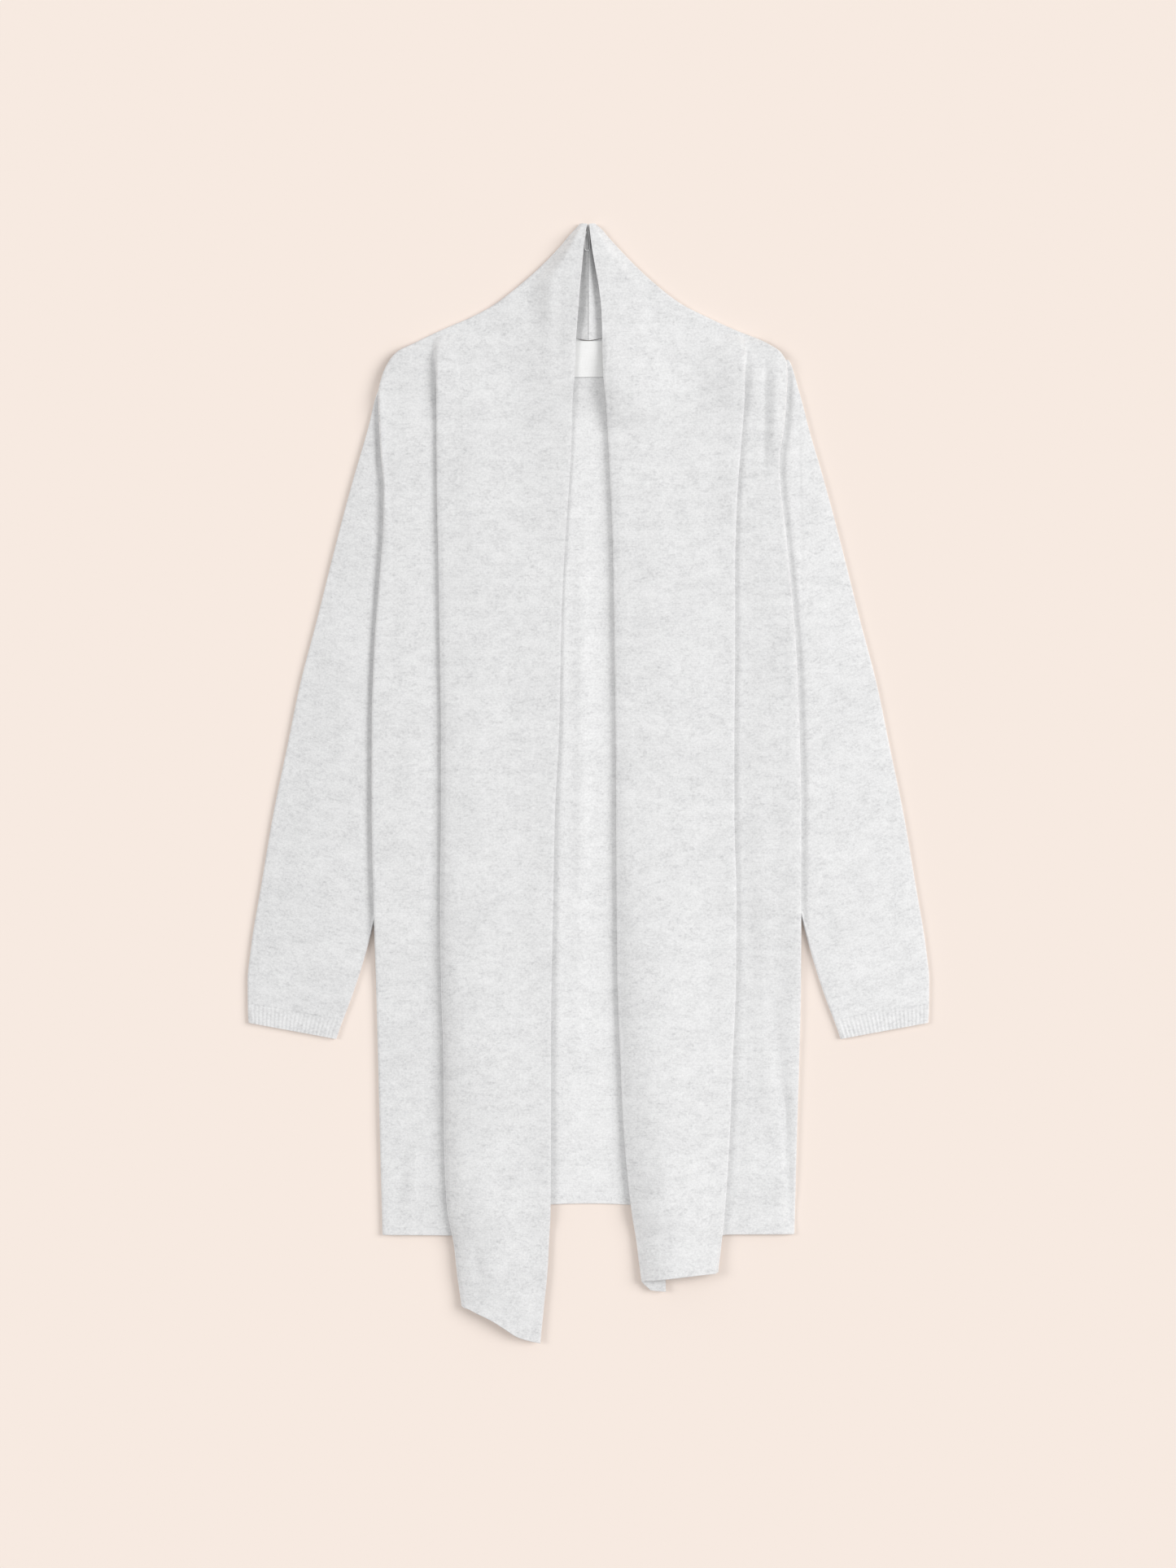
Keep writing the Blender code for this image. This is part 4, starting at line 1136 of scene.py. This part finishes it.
def knit_material(name, tone_and_painted_light, turn=0.0):
    """Soft fine knit of a heather yarn: flecks that gather in patches, faint columns of stitches and nap."""
    material = bpy.data.materials.new(name)
    nodes = Nodes(material)
    drawn = {}
    for name, pattern in PATTERNS.items():
        place = nodes.place(pattern["size"], turn, pattern["offset"])
        drawn[name] = nodes.spread(nodes.noise(place, *pattern["noise"]), *pattern["shows"])
    gathered = nodes.math("ADD", nodes.math("MULTIPLY", drawn["patches"], GATHERS[1]), GATHERS[0])
    for name in ("flecks", "dashes"):
        drawn[name] = nodes.math("MULTIPLY", drawn[name], gathered)
    drawn["clouds"] = nodes.noise(nodes.place(CLOUD_SIZE, turn, CLOUD_OFFSET))
    drawn["grain"] = nodes.noise(nodes.place(GRAIN_SIZE, turn), 1.0, 0.6)
    drawn["stitches"] = stitches(nodes, turn)
    shade = 0.0
    for name, weight in DARKENS.items():
        shade = nodes.math("ADD", shade, nodes.math("MULTIPLY", drawn[name], weight))
    # The given tone carries painted light: lighter for the back and the pieces on the right, darker for those
    # on the left
    light = (tone_and_painted_light, tone_and_painted_light, tone_and_painted_light, 1.0)
    dark = (*(tone_and_painted_light * share for share in DARK_YARN), 1.0)
    values = {"Value": shade, "From Min": SHADE_RANGE[0], "From Max": SHADE_RANGE[1]}
    color = nodes.blend(nodes.add("ShaderNodeMapRange", values).outputs[0], light, dark)
    nodes.set(nodes.shader.inputs["Base Color"], color)

    nap = nodes.noise(nodes.place(NAP_SIZE, turn), 3.0, 0.65)
    raised = nodes.math("MULTIPLY", drawn["stitches"], 0.6)
    height = nodes.math("ADD", raised, nodes.math("MULTIPLY", nap, 0.7))
    bump = nodes.add("ShaderNodeBump", {"Height": height, "Strength": 0.45, "Distance": 0.0003})
    nodes.set(nodes.shader.inputs["Normal"], bump.outputs[0])
    rough = nodes.spread(drawn["grain"], 0.2, 0.8)
    values = {"Value": rough, "To Min": 0.86, "To Max": 0.98}
    nodes.set(nodes.shader.inputs["Roughness"], nodes.add("ShaderNodeMapRange", values).outputs[0])
    nodes.shader.inputs["Specular IOR Level"].default_value = 0.08
    nodes.shader.inputs["Sheen Weight"].default_value = 0.03
    nodes.shader.inputs["Sheen Roughness"].default_value = 0.5
    return material


def label_material():
    """White woven tape: a fine satin weave with a soft gloss."""
    material = bpy.data.materials.new("white_tape")
    nodes = Nodes(material)
    threads = nodes.noise(nodes.place((12.0, 0.35, 20.0)), 2.0, 0.5)
    across = nodes.noise(nodes.place((0.35, 5.0, 20.0)), 2.0, 0.5)
    weave = nodes.math("MULTIPLY", nodes.math("ADD", threads, across), 0.5)
    color = nodes.blend(nodes.spread(weave, 0.35, 0.65), (0.90, 0.90, 0.89, 1.0), (0.97, 0.97, 0.965, 1.0))
    nodes.set(nodes.shader.inputs["Base Color"], color)
    bump = nodes.add("ShaderNodeBump", {"Height": weave, "Strength": 0.3, "Distance": 0.0001})
    nodes.set(nodes.shader.inputs["Normal"], bump.outputs[0])
    values = {"Value": weave, "To Min": 0.40, "To Max": 0.55}
    nodes.set(nodes.shader.inputs["Roughness"], nodes.add("ShaderNodeMapRange", values).outputs[0])
    nodes.shader.inputs["Specular IOR Level"].default_value = 0.4
    return material


def cord_material():
    """Twisted yarn in the same grey."""
    material = bpy.data.materials.new("grey_cord")
    nodes = Nodes(material)
    twist = nodes.noise(nodes.place((0.5, 0.9, 0.9), 35.0), 2.0, 0.6)
    color = nodes.blend(nodes.spread(twist, 0.3, 0.7), (0.58, 0.58, 0.58, 1.0), (0.74, 0.74, 0.74, 1.0))
    nodes.set(nodes.shader.inputs["Base Color"], color)
    bump = nodes.add("ShaderNodeBump", {"Height": twist, "Strength": 0.5, "Distance": 0.0002})
    nodes.set(nodes.shader.inputs["Normal"], bump.outputs[0])
    nodes.shader.inputs["Roughness"].default_value = 0.9
    return material


def floor():
    """A plain pale surface under the garment."""
    signs = ((-1, -1), (1, -1), (1, 1), (-1, 1))
    corners = [(FLOOR_HALF * x, FLOOR_HALF * y, FLOOR_LEVEL) for x, y in signs]
    mesh = bpy.data.meshes.new("floor")
    mesh.from_pydata(corners, [], [[0, 1, 2, 3]])
    material = bpy.data.materials.new("pale_floor")
    nodes = Nodes(material)
    nodes.shader.inputs["Base Color"].default_value = FLOOR_COLOR
    nodes.shader.inputs["Roughness"].default_value = 1.0
    nodes.shader.inputs["Specular IOR Level"].default_value = 0.0
    mesh.materials.append(material)
    obj = bpy.data.objects.new("floor", mesh)
    bpy.context.collection.objects.link(obj)


def light():
    """Even light all round, a wide soft light from the right and a weaker one from the left."""
    world_light = bpy.data.worlds.new("studio")
    world_light.use_nodes = True
    background = world_light.node_tree.nodes["Background"]
    background.inputs["Color"].default_value = (1.0, 1.0, 1.0, 1.0)
    background.inputs["Strength"].default_value = AMBIENT
    bpy.context.scene.world = world_light
    for share, *degrees in zip(*LAMPS.values()):
        elevation, azimuth, angle = (math.radians(value) for value in degrees)
        sun = bpy.data.lights.new("soft_lamp", "SUN")
        sun.energy = share * math.pi / math.sin(elevation)
        sun.angle = angle
        lamp = bpy.data.objects.new("soft_lamp", sun)
        level = math.cos(elevation)
        towards = Vector((level * math.cos(azimuth), level * math.sin(azimuth), math.sin(elevation)))
        lamp.rotation_euler = towards.to_track_quat("Z", "Y").to_euler()
        bpy.context.collection.objects.link(lamp)


def camera():
    """Straight above the garment, with the photograph's frame at the height of the surface."""
    view = bpy.data.cameras.new("camera")
    view.sensor_width = 36.0
    view.lens = view.sensor_width * CAMERA_HEIGHT / PHOTO_HEIGHT
    view.clip_end = 20.0
    obj = bpy.data.objects.new("camera", view)
    obj.location = (*PHOTO_CENTRE, CAMERA_HEIGHT)
    bpy.context.collection.objects.link(obj)
    bpy.context.scene.camera = obj


def build():
    """All pieces of the garment, on the floor in the light."""
    # Each piece's tone carries painted light: the back and the right pieces lighter, the left ones darker
    back = shell_object("knit_back", *back_shell(), knit_material("heather_back", TONES_AND_PAINTED_LIGHT["back"]))
    dress(back, "back")
    for side in ("left", "right"):
        yarn = knit_material(f"heather_front_{side}", TONES_AND_PAINTED_LIGHT[f"front_{side}"])
        front = shell_object(f"knit_front_{side}", *front_shell(side), yarn)
        dress(front, f"front_{side}")
        tone_and_painted_light, turn = TONES_AND_PAINTED_LIGHT[f"sleeve_{side}"], SLEEVE_TURN[side]
        sleeve = sleeve_object(side, knit_material(f"heather_sleeve_{side}", tone_and_painted_light, turn))
        dress(sleeve, f"sleeve_{side}")
        cuff = cuff_object(side, knit_material(f"heather_cuff_{side}", tone_and_painted_light, turn))
        dress(cuff, f"cuff_{side}")
    label = label_object(label_material())
    dress(label, "label")
    dress(loop_object(cord_material()), "hanger_loop")
    floor()
    light()
    camera()
    bpy.context.scene.view_settings.view_transform = "Standard"


build()
